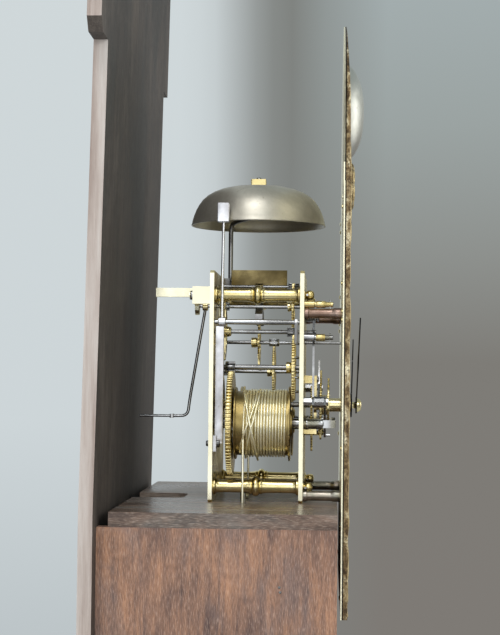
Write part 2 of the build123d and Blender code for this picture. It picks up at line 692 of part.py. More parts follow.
def going_train():
    """Barrel, centre wheel, third wheel and escape wheel."""
    great_r, centre_pr, centre_ph = pair(GOING_BARREL, CENTRE, GOING_GREAT_N, CENTRE_LEAVES, 0)
    barrel(GOING_BARREL, "going", GOING_GREAT_N, great_r, near_back(9.4))
    centre_r, third_pr, third_ph = pair(CENTRE, THIRD, CENTRE_N, THIRD_LEAVES, 0)
    body = arbor_bar(CENTRE, CENTRE_ARBOR_R) + rod(3.6, CENTRE, near_back(5.6), near_back(3.6))
    body += pinion(CENTRE, CENTRE_LEAVES, centre_pr, near_back(10.0), near_back(5.6), centre_ph)
    body += wheel(CENTRE, CENTRE_N, centre_r, near_back(3.6), WHEEL_T)
    body += rod(CENTRE_ARBOR_R, CENTRE, ahead(4.5), inside(1))
    body += rod(HAND_ARBOR_R, CENTRE, DIAL_FRONT - 12.5, ahead(4))
    add("centre_wheel", body)
    third_r, escape_pr, escape_ph = pair(THIRD, ESCAPE, THIRD_N, ESCAPE_LEAVES, 0)
    body = arbor_bar(THIRD, 1.7) + rod(3.6, THIRD, inside(22), inside(26.9))
    body += pinion(THIRD, THIRD_LEAVES, third_pr, near_back(7.2), near_back(0.6), third_ph)
    body += wheel(THIRD, THIRD_N, third_r, inside(20.9), WHEEL_T)
    add("third_wheel", body)
    corners = ((ESCAPE_R - 4.0, 0.0), (ESCAPE_R, 0.46), (ESCAPE_R - 4.0, 0.52))
    disc = ring_of_teeth(ESCAPE_N, corners, 0) - crossings(ESCAPE_R - 6.4, 4.4, 4, 2.2, 0)
    body = arbor_bar(ESCAPE, 1.6) + rod(3.8, ESCAPE, inside(33.9), inside(39.4))
    body += pinion(ESCAPE, ESCAPE_LEAVES, escape_pr, inside(17.4), inside(25.4), escape_ph)
    body += slab(disc, *ESCAPE, inside(32.5), inside(33.9))
    body += rod(ESCAPE_FRONT_R, ESCAPE, ahead(1), inside(1))
    body += rod(PIVOT_R, ESCAPE, DIAL_FRONT - 5, FRONT_PLATE_Y)
    add("escape_wheel", body)


def pallets():
    """Anchor with two nibs just clear of the escape wheel, on its arbor through the back cock."""
    drop = PALLETS[1] - ESCAPE[1]
    anchor = RegularPolygon(4.2, 10)
    for side in (-1, 1):
        x, h = polar(ESCAPE_R + PALLET_GAP, 90 + side * PALLET_SPREAD)
        tip, out = (x, h - drop), -2.6 * side
        anchor += outline(tip, (x + out, tip[1] + 2.0), (x + out * 1.1, tip[1] + 8.5), (-side * 3.0, 2.2),
                          (-side * 2.0, -1.6))
    body = slab(anchor, *PALLETS, inside(30.4), inside(36.1))
    body += rod(PALLET_ARBOR_R, PALLETS, inside(0.35), COCK_FRONT + COCK_REACH - 0.4)
    body += rod(PIVOT_R, PALLETS, FRONT_PLATE_Y + 0.3, inside(1))
    body += journal(PIVOT_R, PALLETS, COCK_FRONT + COCK_REACH - 1, COCK_FRONT + COCK_REACH + COCK_T)
    add("pallets", body)


def back_cock():
    """Brass cock on the back plate: carries the pallet arbor and the pendulum's suspension."""
    y1, h = COCK_FRONT + COCK_REACH, PALLETS[1]
    low, top = SEAT_Z + h + 0.7, SEAT_Z + h + 0.7 + COCK_H
    end = COCK_W / 2
    body = block(-end, end, y1, y1 + COCK_T, low, top)
    body += slab(RegularPolygon(7, 12), *PALLETS, y1, y1 + COCK_T)
    for sx in (-1, 1):
        x0, x1 = sorted((sx * end, sx * (end - 11)))
        body += block(x0, x1, COCK_FRONT, y1, low, top)
        body += rod(3.4, (sx * (end - 5.5), h + 0.7 + COCK_H / 2), y1 + COCK_T, y1 + COCK_T + 2.4)
    tail = COCK_FRONT + SUSPENSION_REACH
    body += block(-4, 4, y1, tail, top - 7, top)
    body -= block(-0.5, 0.5, tail - 9, tail + 1, low, top + 1)
    add("back_cock", body - bore(PIVOT_R + PIVOT_CLEAR, PALLETS, y1 - 1, y1 + COCK_T + 1))


def crutch():
    """Wire down from the pallet arbor, bent back into a fork for the pendulum rod."""
    y, z, low = COCK_FRONT + CRUTCH_GAP, SEAT_Z + PALLETS[1], SEAT_Z + CRUTCH_H
    end = COCK_FRONT + FORK_END
    body = rod(3.6, PALLETS, y - 2.2, y + 2.2)
    body += bar([(0, y, z - 2.4), (0, y + 12.9, low), (0, end - 26, low)], 1.2, 9)
    body += block(-4.4, 4.4, end - 27, end - 24, low - 1.8, low + 1.8)
    for s in (-1, 1):
        x0, x1 = sorted((s * 2.4, s * 4.4))
        body += block(x0, x1, end - 25, end, low - 1.8, low + 1.8)
    add("crutch", body - bore(PALLET_ARBOR_R + RUN_CLEAR, PALLETS, y - 3, y + 3))


def bell():
    """Bell shell on its stud, held down by a square nut."""
    t, r, h, stud = BELL_T, BELL_R, BELL_H, BELL_STUD_R + 0.3
    outer = [(r - 26, h), (r - 16, h - 3), (r - 9, h - 9), (r - 5, 12), (r - 1.4, 3), (r, 0)]
    inner = [(r - 2.4, 0), (r - 7, 12), (r - 11, h - 10), (r - 17.5, h - 3 - t), (r - 27, h - t)]
    shell = spun([(stud, h)] + outer + inner + [(stud, h - t)], (0, BELL_Y, SEAT_Z + BELL_RIM), (0, 0, 1), 24)
    top = SEAT_Z + BELL_RIM + h
    nut = block(-6, 6, BELL_Y - 6, BELL_Y + 6, top, top + 5)
    nut -= post(BELL_STUD_R + 0.1, 0, BELL_Y, top - 1, top + 6)
    add("bell", shell, nut)


def bell_stand():
    """Curved steel rod from the top of the back plate to the middle of the bell."""
    rim, seat = SEAT_Z + BELL_RIM, SEAT_Z + BELL_RIM + BELL_H - BELL_T
    foot, y = SEAT_Z + PLATE_H - 10, near_back(6.8)
    rise = [(STAND_X, y, foot + 3), (STAND_X, y, rim - 1.5), (0, BELL_Y, rim + 7.5), (0, BELL_Y, seat - 1)]
    body = bar(rise, STAND_R, 12) + post(4.6, 0, BELL_Y, seat - 2, seat)
    body += post(BELL_STUD_R, 0, BELL_Y, seat - 1, seat + BELL_T + 6.4)
    body += block(STAND_X - 4, STAND_X + 4, near_back(7.8), BACK_PLATE_Y, foot, foot + 9)
    add("bell_stand", body)


def hammer():
    """Bell hammer with the tail that the pins lift, and the flat spring that returns it."""
    y, (x, h) = near_back(HAMMER_ARM_DY), HAMMER
    z, top = SEAT_Z + h, SEAT_Z + BELL_RIM + 5 - HEAD_H / 2
    body = arbor_bar(HAMMER, 2.1) + bar([(x, y, z), (x + 1, y, z + 44), (x + 5, y, top + 1)], 1.2, 3)
    body += block(x - 1, x + 9.5, y - 4.4, y + 4.4, top, top + HEAD_H)
    body += slab(outline((-2.6, 0), (2.6, 0), (7.5, -14), (3.5, -16.5)), x, h, inside(1.5), inside(4.1))
    add("hammer", body)
    foot = block(x - 3, x + 4, near_back(3), BACK_PLATE_Y, SEAT_Z + 38, SEAT_Z + 50)
    blade = block(x - 1, x, near_back(7.5), near_back(1.4), SEAT_Z + 46, z - 3.2)
    add("hammer_spring", foot + blade)


# Work between the front plate and the dial

def motion_work():
    """Cannon wheel, minute wheel and hour wheel with its snail."""
    cannon_r, minute_r, minute_ph = pair(CENTRE, MINUTE, CANNON_N, MINUTE_N, 0)
    cannon = wheel(CENTRE, CANNON_N, cannon_r, ahead(6.4), WHEEL_T, 0, 0)
    cannon += rod(CANNON_R, CENTRE, DIAL_FRONT - 11.4, ahead(4.8))
    add("cannon_wheel", cannon - bore(HAND_ARBOR_R + 0.04, CENTRE, DIAL_FRONT - 12, FRONT_PLATE_Y))
    leaf_r, hour_r, hour_ph = pair(MINUTE, CENTRE, MINUTE_LEAVES, HOUR_N, minute_ph)
    minute = wheel(MINUTE, MINUTE_N, minute_r, ahead(6.4), WHEEL_T, minute_ph, 0)
    minute += pinion(MINUTE, MINUTE_LEAVES, leaf_r, ahead(15), ahead(6), minute_ph)
    minute += rod(0.9, off(MINUTE, 10, 90), ahead(9.5), ahead(6))
    add("minute_wheel", minute - journal(STUD_SMALL_R + PIVOT_CLEAR, MINUTE, ahead(16), ahead(4)))
    hour = wheel(CENTRE, HOUR_N, hour_r, ahead(13.6), WHEEL_T, hour_ph, 4, 8.0)
    hour += rod(HOUR_PIPE_R, CENTRE, DIAL_FRONT - 6.6, ahead(12)) + rod(8.0, CENTRE, ahead(18), ahead(13.6))
    hour -= bore(HOUR_PIPE_IN, CENTRE, DIAL_FRONT - 8, ahead(10))
    snail = slab(outline(*snail_points()), *CENTRE, ahead(19.6), ahead(18))
    add("hour_wheel", hour, snail - bore(HOUR_PIPE_R + RUN_CLEAR, CENTRE, ahead(21), ahead(17)))


def snail_points():
    """Twelve steps, each a little nearer the middle."""
    return [polar(SNAIL_R - SNAIL_STEP * step, 30 * step + 8 + turn)
            for step in range(12) for turn in (0, 15, 30)]


def bridge():
    """Bridge over the cannon wheel, with the tube that carries the hour pipe."""
    z, back, front = SEAT_Z + CENTRE[1], ahead(7.4), ahead(9.6)
    body = block(-3, 3, front, back, z - 23, z + 23) + slab(RegularPolygon(7, 12), *CENTRE, front, back)
    body += rod(BRIDGE_TUBE_R, CENTRE, ahead(25), back)
    for s in (-1, 1):
        body += block(-3, 3, back, FRONT_PLATE_Y, z + s * 20 - 3, z + s * 20 + 3)
    add("motion_bridge", body - bore(CANNON_R + 0.1, CENTRE, ahead(26), ahead(6)))


def studs():
    """Studs of the rack, its hook and the lifting piece, and the minute wheel's."""
    pins = []
    for place, length in ((RACK_AT, 17.4), (HOOK_AT, 9.2), (LIFT_AT, 12.6)):
        stud = journal(STUD_R, place, ahead(length), FRONT_PLATE_Y)
        stud += rod(STUD_R + 1.6, place, ahead(5.9), FRONT_PLATE_Y)
        pins.append(stud + rod(STUD_R + 1.0, place, ahead(length + 1.4), ahead(length)))
    minute = rod(STUD_SMALL_R, MINUTE, ahead(15.8), FRONT_PLATE_Y)
    minute += rod(2.6, MINUTE, ahead(4.6), FRONT_PLATE_Y)
    add("lever_studs", *pins, minute + rod(2.2, MINUTE, ahead(17), ahead(15.6)))


def rack():
    """Toothed rack that counts the blows, with the tail whose pin falls to the snail."""
    r1, r0, start = RACK_TOOTH_R, RACK_TOOTH_R - 2.8, 80.0
    teeth = []
    for i in range(RACK_TEETH):
        a = start - RACK_STEP * i
        teeth += [polar(r1, a), polar(r0, a - 0.2)]
    end = start - RACK_STEP * RACK_TEETH
    under = [polar(r0 - 5, end), polar(r0 - 7, start - 8)]
    toothed = outline((-3, 0), polar(r1 - 4, start + 6), *teeth, *under, (3, 0))
    plate = slab(toothed + RegularPolygon(4.6, 12), *RACK_AT, ahead(8), ahead(6.4))
    tail = Rot(0, 0, RACK_TAIL_TURN) * (Pos(RACK_TAIL / 2, 0) * Rectangle(RACK_TAIL + 2, 2.6))
    plate += rod(4.4, RACK_AT, ahead(17), ahead(8))
    plate += slab(tail + RegularPolygon(4.6, 12), *RACK_AT, ahead(17), ahead(15.4))
    plate += rod(1.0, off(RACK_AT, RACK_TAIL, RACK_TAIL_TURN), ahead(20.4), ahead(17))
    add("rack", plate - bore(STUD_R + PIVOT_CLEAR, RACK_AT, ahead(21), FRONT_PLATE_Y))


def lever(points, place, y0, t):
    """Flat steel lever round a stud."""
    flat = slab(outline(*points) + RegularPolygon(4.4, 12), *place, y0, y0 + t)
    return flat - bore(STUD_R + PIVOT_CLEAR, place, y0 - 1, y0 + t + 1)


def levers():
    """Rack, rack hook, lifting piece and gathering pallet of the strike."""
    rack()
    nose = polar(RACK_TOOTH_R + 0.6, 85)
    tip = (RACK_AT[0] + nose[0] - HOOK_AT[0], RACK_AT[1] + nose[1] - HOOK_AT[1])
    hook = [(3, 4), (-40, 4.6), (tip[0] + 6, 1), (tip[0] - 2.4, -5), tip, (tip[0] + 3.4, -7),
            (tip[0] + 9, -3.4), (-38, 0), (3, -4)]
    add("rack_hook", lever(hook, HOOK_AT, ahead(8), WHEEL_T))
    lift = [(-3, 3.4), (-26, -10.4), (-33, -27), (-30.6, -28), (-22, -13), (3, -4), (9, 22), (6, 23)]
    add("lifting_piece", lever(lift, LIFT_AT, ahead(11.7), 1.4))
    pallet = RegularPolygon(3.6, 12) + outline((-2.4, 0), (-1.2, -6.0), (1.2, -6.0), (2.4, 0))
    body = slab(pallet, *GATHERING, ahead(8), ahead(6))
    add("gathering_pallet", body - bore(GATHER_ARBOR_R + RUN_CLEAR, GATHERING, ahead(10), ahead(4)))


# Dial

def dial_outline(grow=0.0):
    """Square plate with a break-arch top, with its middle at the square's foot."""
    half, r = DIAL_W / 2 + grow, ARCH_R + grow
    square = Pos(0, DIAL_W / 2) * Rectangle(2 * half, DIAL_W + 2 * grow)
    stilt = Pos(0, (DIAL_W + SPRING_H) / 2) * Rectangle(2 * r, SPRING_H - DIAL_W)
    return square + stilt + Pos(0, SPRING_H) * Circle(r)


def dial():
    """Plate with its raised border, chapter ring, seconds ring and domed boss."""
    plate = slab(dial_outline(), 0, DIAL_LOW, DIAL_FRONT, DIAL_BACK_Y)
    plate += slab(dial_outline() - dial_outline(-BORDER_W), 0, DIAL_LOW, DIAL_FRONT - BORDER_T, DIAL_FRONT)
    holes = ((HOUR_PIPE_R + 0.6, CENTRE), (1.7, ESCAPE), (WINDING_R, STRIKE_BARREL),
             (WINDING_R, GOING_BARREL))
    for r, place in holes:
        plate -= bore(r, place, DIAL_FRONT - 4, DIAL_BACK_Y + 1)
    add("dial_plate", plate)
    hours = slab(annulus(CHAPTER_R, CHAPTER_IN_R, 48), *CENTRE, DIAL_FRONT - RING_T, DIAL_FRONT)
    seconds = slab(annulus(SECONDS_R, SECONDS_IN_R, 24), *ESCAPE, DIAL_FRONT - 0.9, DIAL_FRONT)
    add("chapter_rings", hours, seconds)
    r, h = BOSS_R, BOSS_H
    dome = [(12, -h + 0.5), (22, -h + 2.6), (30, -h + 6), (36, -h + 10), (r - 2, -2.4), (r, -2), (r, 0)]
    add("arch_boss", spun([(0, -h)] + dome + [(0, 0)], (0, DIAL_FRONT, SEAT_Z + BOSS_PLACE), (0, 1, 0), 24))


def spandrels():
    """Cast ornaments: one in each corner and one in each shoulder of the arch."""
    half, pieces = DIAL_W / 2, []
    shares = ((0, 0), (0, 1), (0.18, 0.77), (0.32, 0.57), (0.57, 0.32), (0.77, 0.18), (1, 0))
    corner = [(half - SPANDREL_IN - SPANDREL_L * u, SPANDREL_IN + SPANDREL_L * v) for u, v in shares]
    shoulder = [(46, 236), (98, 229), (112, 240), (108, 262), (92, 276), (78, 268), (60, 252)]
    for sx in (-1, 1):
        for foot, way in ((0, 1), (DIAL_W, -1)):
            points = [(sx * x, foot + way * y) for x, y in corner]
            pieces.append(slab(outline(*points), 0, DIAL_LOW, DIAL_FRONT - SPANDREL_T, DIAL_FRONT))
        points = [(sx * x, y) for x, y in shoulder]
        pieces.append(slab(outline(*points), 0, 0, DIAL_FRONT - ARCH_CAST_T, DIAL_FRONT))
    add("spandrels", *pieces)


def dial_feet():
    """Four pillars that join the dial to the front plate."""
    r, lip, length = DIAL_FOOT_R, DIAL_FOOT_R + DIAL_FOOT_LIP, DIAL_FOOT_L
    profile = [(lip, 0), (lip, 3), (r, 4.5), (r, length - 8), (lip, length - 6), (lip, length)]
    add("dial_feet", *[turned(profile, place, DIAL_BACK_Y) for place in DIAL_FEET])


def pointer(length, tail, width, turn, boss, hole):
    """Hand, drawn along its own length and then turned clockwise from twelve."""
    w = width
    side = [(w * 0.3, -tail), (w * 0.3, length * 0.42), (w, length * 0.5), (w * 0.3, length * 0.62)]
    blade = outline(*side, (0, length), *[(-x, y) for x, y in reversed(side)])
    return Rot(0, 0, -turn) * (blade + RegularPolygon(boss, 16)) - Circle(hole)


def hands():
    """Hour, minute and seconds hands, one in front of the other, and the collet that holds them."""
    y = DIAL_FRONT
    hour = pointer(94, 0, 9.0, HOUR_TURN, 9.5, HOUR_PIPE_R + RUN_CLEAR)
    add("hour_hand", slab(hour, *CENTRE, y - 6.2, y - 6.2 + HAND_T))
    minute = pointer(130, 0, 5.2, MINUTE_TURN, 6.5, CANNON_R + RUN_CLEAR)
    collet = turned([(CANNON_R + 1.0, -3.2), (5.0, -1.6), (5.6, 0)], CENTRE, y - 11.4, 12)
    collet -= bore(HAND_ARBOR_R + PIVOT_CLEAR, CENTRE, y - 16, y - 10)
    add("minute_hand", slab(minute, *CENTRE, y - 11.0, y - 11.0 + HAND_T), collet)
    second = pointer(26, 9, 2.2, SECONDS_TURN, 2.6, PIVOT_R + RUN_CLEAR)
    add("seconds_hand", slab(second, *ESCAPE, y - 3.6, y - 2.8))


# Weights and gut lines

def pulley(x):
    """Grooved pulley with a running hole."""
    r, root = PULLEY_R, PULLEY_R - GUT_D / 2 - 0.3
    profile = [(5, -3.4), (r + 2, -3.4), (root, -0.9), (root, 0.9), (r + 2, 3.4), (5, 3.4)]
    disc = spun(profile, (x, FALL_Y, PULLEY_Z), (0, 1, 0), 16)
    place, y = (x, PULLEY_Z - SEAT_Z), FALL_Y
    hub = journal(5.2, place, y - 3.4, y + 3.4)
    return disc + hub - journal(PULLEY_PIN_R + PIVOT_CLEAR, place, y - 4, y + 4)


def weight(x):
    """Weight with its hook, and the stirrup and pin of the pulley."""
    y, z, foot = FALL_Y, PULLEY_Z, PULLEY_Z - PULLEY_R - 14
    stirrup = block(x - 5, x + 5, y - 5.6, y + 5.6, foot - 3, z + 6)
    stirrup -= block(x - 6, x + 6, y - 4, y + 4, foot, z + 7)
    stirrup += rod(PULLEY_PIN_R, (x, z - SEAT_Z), y - 6.5, y + 6.5) + post(1.8, x, y, foot - 26, foot - 2)
    r, h = WEIGHT_R, WEIGHT_H
    return stirrup + upright([(r - 3, -h), (r, -h + 3), (r, -6), (r - 8, 0)], x, y, foot - 24)


def biarc(p0, t0, p1, t1):
    """Two arcs that leave p0 along t0 and reach p1 along t1."""
    v, t = p1 - p0, t0 + t1
    q = 2 * (1 - t0.dot(t1))
    d = (-v.dot(t) + math.sqrt(v.dot(t) ** 2 + q * v.dot(v))) / q
    mid = (p0 + p1 + (t0 - t1) * d) / 2
    return [TangentArc(p0, mid, tangent=t0), TangentArc(mid, p1, tangent=(v - t * d) / (2 * d))]


def on_helix(half_turns):
    """Point and direction on the helix of the strike line, so many half turns from its start."""
    angle, r, k = math.pi * (half_turns + 1), DRUM_R + GUT_D / 2, GUT_PITCH / (2 * math.pi)
    x, h = STRIKE_BARREL
    point = Vector(x + r * math.cos(angle), GUT_START_Y + k * angle, SEAT_Z + h + r * math.sin(angle))
    return point, Vector(-r * math.sin(angle), k, r * math.cos(angle)).normalized()


def gut_winding(low):
    """The turns of the strike line in one layer on its barrel, and the lead to where it falls."""
    edges = []
    for i in range(2 * GUT_TURNS):
        edges += biarc(*on_helix(i), *on_helix(i + 1))
    start, way = on_helix(0)
    top, lead = on_helix(2 * GUT_TURNS)
    edges += biarc(top, lead, low, Vector(0, 0, -1))
    return start - way * GUT_D, way, [Line(start - way * GUT_D, start)] + edges


def gut_line(fall, tie, wound):
    """Line off the barrel, down through the seatboard, round the pulley and up to its knot."""
    y, z = FALL_Y, PULLEY_Z
    low = Vector(fall, y, SEAT_Z + 20)
    start, along, edges = Vector(fall, y, SEAT_Z + GOING_BARREL[1]), Vector(0, 0, -1), []
    if wound:
        start, along, edges = gut_winding(low)
    turn = TangentArc((fall, y, z), (tie, y, z), tangent=(0, 0, -1))
    edges += [Line(low if wound else start, (fall, y, z)), turn, Line((tie, y, z), (tie, y, SEAT_Z + 3))]
    section = Plane(origin=start, x_dir=(1, 0, 0), z_dir=along) * RegularPolygon(GUT_D / 2, 4, rotation=45)
    knot = block(tie - 3.2, tie + 3.2, y - 3.2, y + 3.2, SEAT_Z + 0.05, SEAT_Z + 5)
    return sweep(section, path=Wire([piece.edge() for piece in edges])) + chamfer(knot.edges(), 1.4)


def weights():
    """For each train, the pulley, the weight that hangs from it and the line that holds both."""
    for name, (fall, tie) in zip(("strike", "going"), gut_xs()):
        x = (fall + tie) / 2
        add(name + "_pulley", pulley(x))
        add(name + "_weight", weight(x))
        add(name + "_line", gut_line(fall, tie, name == "strike"))


def build():
    case()
    plates()
    pillars()
    seatboard_bolts()
    strike_train()
    going_train()
    pallets()
    back_cock()
    crutch()
    bell()
    bell_stand()
    hammer()
    motion_work()
    bridge()
    studs()
    levers()
    dial()
    spandrels()
    dial_feet()
    hands()
    weights()


build()
os.makedirs("parts", exist_ok=True)
for node, shape in nodes.items():
    export_step(shape, os.path.join("parts", node + ".step"))
print(len(nodes), "nodes")
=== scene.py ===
"""Dresses the longcase clock's frame: finishes, wheelwork, dial, lines, lights and camera."""
import json
import math
import random

import bmesh
import bpy
from mathutils import Matrix, Vector


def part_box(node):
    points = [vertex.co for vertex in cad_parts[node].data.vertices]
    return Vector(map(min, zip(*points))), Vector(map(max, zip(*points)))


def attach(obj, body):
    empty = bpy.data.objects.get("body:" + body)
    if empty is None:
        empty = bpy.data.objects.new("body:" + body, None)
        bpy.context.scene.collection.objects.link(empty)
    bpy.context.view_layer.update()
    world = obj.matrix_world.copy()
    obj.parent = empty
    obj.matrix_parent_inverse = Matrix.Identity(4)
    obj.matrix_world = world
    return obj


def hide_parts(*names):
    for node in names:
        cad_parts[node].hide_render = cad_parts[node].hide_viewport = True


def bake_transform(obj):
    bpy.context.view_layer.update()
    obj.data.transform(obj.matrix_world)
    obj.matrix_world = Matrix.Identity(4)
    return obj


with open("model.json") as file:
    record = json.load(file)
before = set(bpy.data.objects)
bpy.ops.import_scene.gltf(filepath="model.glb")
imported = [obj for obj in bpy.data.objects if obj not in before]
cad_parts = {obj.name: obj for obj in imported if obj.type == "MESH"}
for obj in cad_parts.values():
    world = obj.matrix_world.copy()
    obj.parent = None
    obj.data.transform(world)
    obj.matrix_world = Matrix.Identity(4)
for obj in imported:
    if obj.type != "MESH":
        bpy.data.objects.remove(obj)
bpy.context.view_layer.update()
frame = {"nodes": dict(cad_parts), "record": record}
NODES = frame["nodes"]
BODY_OF = {node: body for body, names in frame["record"]["behaviour"]["bodies"].items() for node in names}
SLOT_OF = {part["node"]: part["material_slot"] for part in frame["record"]["subparts"]}

# Places shared with the frame. Pieces are drawn in millimetres: x, y from the drawing, and the height
# above the seatboard.
SEAT_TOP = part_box("seatboard")[1].z
PLATE_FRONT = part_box("front_plate")[0].y
PLATE_FACE, IN_FRONT, BACK_PLATE, COCK_FRONT = -60.0, -56.9, 8.2, 11.3
SHIFT_Y = PLATE_FRONT * 1000 - PLATE_FACE
DIAL_FRONT, DIAL_BACK = -90.0, -88.4
RING_FACE, SECONDS_FACE = -91.45, -90.95
DIAL_LOW, DIAL_SIZE = -72.5, 305
ARCH_R, ARCH_OVER_LOW = 122, 322
BORDER_RISE = 3.2
BELL_Y, BELL_RIM = -22.0, 214.5
DRUM_R, DRUM_FRONT, DRUM_BACK = 24.5, -48.5, -9.0
CASE_SIDE = 159.2

STRIKE_BARREL, GOING_BARREL = (-41.0, 59.1), (41.0, 59.1)
BARRELS = {"strike": STRIKE_BARREL, "going": GOING_BARREL}
PIN_WHEEL, GATHERING, WARNING, FLY = (-39.5, 102.0), (-34.5, 129.3), (-20.5, 149.2), (-8.0, 165.8)
CENTRE, THIRD, ESCAPE, PALLETS = (0.0, 73.0), (6.0, 99.0), (0.0, 121.8), (0.0, 150.3)
HAMMER, MINUTE = (-59.0, 136.0), (18.6, 50.8)
PILLARS = [(x, h) for x in (-51, 51) for h in (11.5, 157.0)]
FALL_Y, PULLEY_H = -15.1, -72.5
GUT_R, COIL_R, COIL_PITCH = 0.85, 25.45, 2.2
ROUND_PULLEY = 24

# The photograph's camera
CAMERA_AT = Vector((-1.2380, PLATE_FRONT - 0.0192, SEAT_TOP + 0.0954))
CAMERA_YAW = 0.0510
CAMERA_PITCH = 0.0373
CAMERA_ROLL = 0.0109
FOCAL_PIXELS = 1560.2
PHOTO_HEIGHT = 635
SENSOR = 36.0


def tone(value):
    """A linear colour from three 0..255 screen values, or a linear grey from a 0..1 number."""
    if not isinstance(value, tuple):
        return (value, value, value, 1.0)
    shares = [v / 255 for v in value]
    return (*[c / 12.92 if c <= 0.04045 else ((c + 0.055) / 1.055) ** 2.4 for c in shares], 1.0)


def add(name, data):
    made = bpy.data.objects.new(name, data)
    bpy.context.scene.collection.objects.link(made)
    return made


def make_camera():
    data = bpy.data.cameras.new("photo_camera")
    data.sensor_width = SENSOR
    data.lens = FOCAL_PIXELS / PHOTO_HEIGHT * SENSOR
    data.clip_end = 50
    camera = add("photo_camera", data)
    flat = math.cos(CAMERA_PITCH)
    forward = Vector((flat * math.cos(CAMERA_YAW), flat * math.sin(CAMERA_YAW), math.sin(CAMERA_PITCH)))
    side = Vector((math.sin(CAMERA_YAW), -math.cos(CAMERA_YAW), 0))
    up = side.cross(forward)
    right = side * math.cos(CAMERA_ROLL) + up * math.sin(CAMERA_ROLL)
    top = up * math.cos(CAMERA_ROLL) - side * math.sin(CAMERA_ROLL)
    turn = Matrix((right, top, -forward)).transposed().to_4x4()
    camera.matrix_world = Matrix.Translation(CAMERA_AT) @ turn
    bpy.context.scene.camera = camera


# Materials

class Nodes:
    """A node tree that is built up a step at a time."""

    def __init__(self, tree):
        self.tree = tree

    def node(self, kind, **values):
        made = self.tree.nodes.new(kind)
        for key, value in values.items():
            setattr(made, key, value)
        return made

    def link(self, a, b):
        self.tree.links.new(a, b)

    def feed(self, socket, value):
        if isinstance(value, (int, float, tuple)):
            socket.default_value = tone(value) if isinstance(value, tuple) else value
        else:
            self.link(value, socket)

    def ramp(self, source, *stops):
        """Colours or greys at places along a 0..1 value."""
        made = self.node("ShaderNodeValToRGB")
        band = made.color_ramp
        while len(band.elements) < len(stops):
            band.elements.new(0.5)
        for element, (place, colour) in zip(band.elements, stops):
            element.position = place
            element.color = tone(colour)
        self.link(source, made.inputs["Fac"])
        return made.outputs["Color"]

    def mix(self, factor, a, b, blend="MIX"):
        made = self.node("ShaderNodeMix", data_type="RGBA", blend_type=blend)
        for socket, value in ((0, factor), (6, a), (7, b)):
            self.feed(made.inputs[socket], value)
        return made.outputs[2]

    def fill(self, made, *values):
        """Feeds a node's first inputs and gives its first output."""
        for socket, value in zip(made.inputs, values):
            self.feed(socket, value)
        return made.outputs[0]

    def maths(self, operation, a, b):
        return self.fill(self.node("ShaderNodeMath", operation=operation), a, b)

    def axis(self, vector, axis):
        """One of a vector's three numbers."""
        split = self.node("ShaderNodeSeparateXYZ")
        self.fill(split, vector)
        return split.outputs[axis]

    def spread(self, value, low, high):
        """0 below low, 1 above high."""
        return self.fill(self.node("ShaderNodeMapRange"), value, low, high)


class Finish(Nodes):
    """A material, in the object's own coordinates."""

    def __init__(self, name, roughness=0.5, metallic=0.0):
        self.material = bpy.data.materials.new(name)
        self.material.use_nodes = True
        super().__init__(self.material.node_tree)
        self.shader = self.tree.nodes["Principled BSDF"]
        self.rough(roughness)
        self.feed(self.shader.inputs["Metallic"], metallic)
        self.coords = self.node("ShaderNodeTexCoord").outputs["Object"]

    def noise(self, scale, stretch=(1, 1, 1), detail=6.0, rough=0.6, distortion=0.0, offset=(0, 0, 0)):
        mapping = self.node("ShaderNodeMapping")
        mapping.inputs["Scale"].default_value = stretch
        mapping.inputs["Location"].default_value = offset
        self.link(self.coords, mapping.inputs["Vector"])
        made = self.node("ShaderNodeTexNoise")
        settings = {"Scale": scale, "Detail": detail, "Roughness": rough, "Distortion": distortion}
        for socket, value in settings.items():
            made.inputs[socket].default_value = value
        self.link(mapping.outputs["Vector"], made.inputs["Vector"])
        return made.outputs["Fac"]

    def facing(self, axis, *stops):
        """A ramp over how far a surface looks against an axis, from the shape itself."""
        looks = self.axis(self.node("ShaderNodeNewGeometry").outputs["True Normal"], axis)
        return self.ramp(self.maths("MULTIPLY", looks, -1.0), *stops)

    def colour(self, value):
        self.feed(self.shader.inputs["Base Color"], value)

    def rough(self, value):
        self.feed(self.shader.inputs["Roughness"], value)

    def bumped(self, height, strength, distance):
        """The material, once its height map is in."""
        made = self.node("ShaderNodeBump")
        for socket, value in (("Strength", strength), ("Distance", distance), ("Height", height)):
            self.feed(made.inputs[socket], value)
        self.link(made.outputs["Normal"], self.shader.inputs["Normal"])
        return self.material


def wood(name, dark, mid, light, tint, pores, rough=0.45, grain=1.0, edge=None, along=(1, 1, 0.04)):
    """Boards with fibres, darker growth bands, mottled old polish and open pores."""
    f = Finish(name, rough)
    short, wide = (tuple(1 if v == 1 else v * times for v in along) for times in (2.6, 2))
    soft, softer = (tuple(1 if v == 1 else share for v in along) for share in (0.45, 0.4))
    fibre = f.noise(1900 * grain, short, 4, 0.6)
    streak = f.noise(240 * grain, wide, 7, 0.7, 0.4, (3, 1, 0))
    cloud = f.noise(12, soft, 6, 0.62, 0.6, (1, 5, 2))
    patch = f.noise(22, softer, 6, 0.66, 0.8, (7, 2, 4))
    base = f.ramp(f.mix(0.4, cloud, streak), (0.4, dark), (0.5, mid), (0.6, light))
    base = f.mix(f.ramp(patch, (0.48, 0.0), (0.66, 0.7)), base, tint)
    base = f.mix(f.ramp(cloud, (0.34, 0.6), (0.44, 0.0)), base, dark)
    base = f.mix(1.0, base, f.ramp(fibre, (0.36, 0.62), (0.48, 0.92), (0.6, 1.0)), "MULTIPLY")
    base = f.mix(f.ramp(fibre, (0.54, 0.0), (0.66, 0.4)), base, pores)
    f.colour(edge(f, base) if edge else base)
    f.rough(f.ramp(cloud, (0.3, rough - 0.08), (0.7, rough + 0.14)))
    return f.bumped(f.mix(0.35, fibre, streak), 0.6, 0.0006)


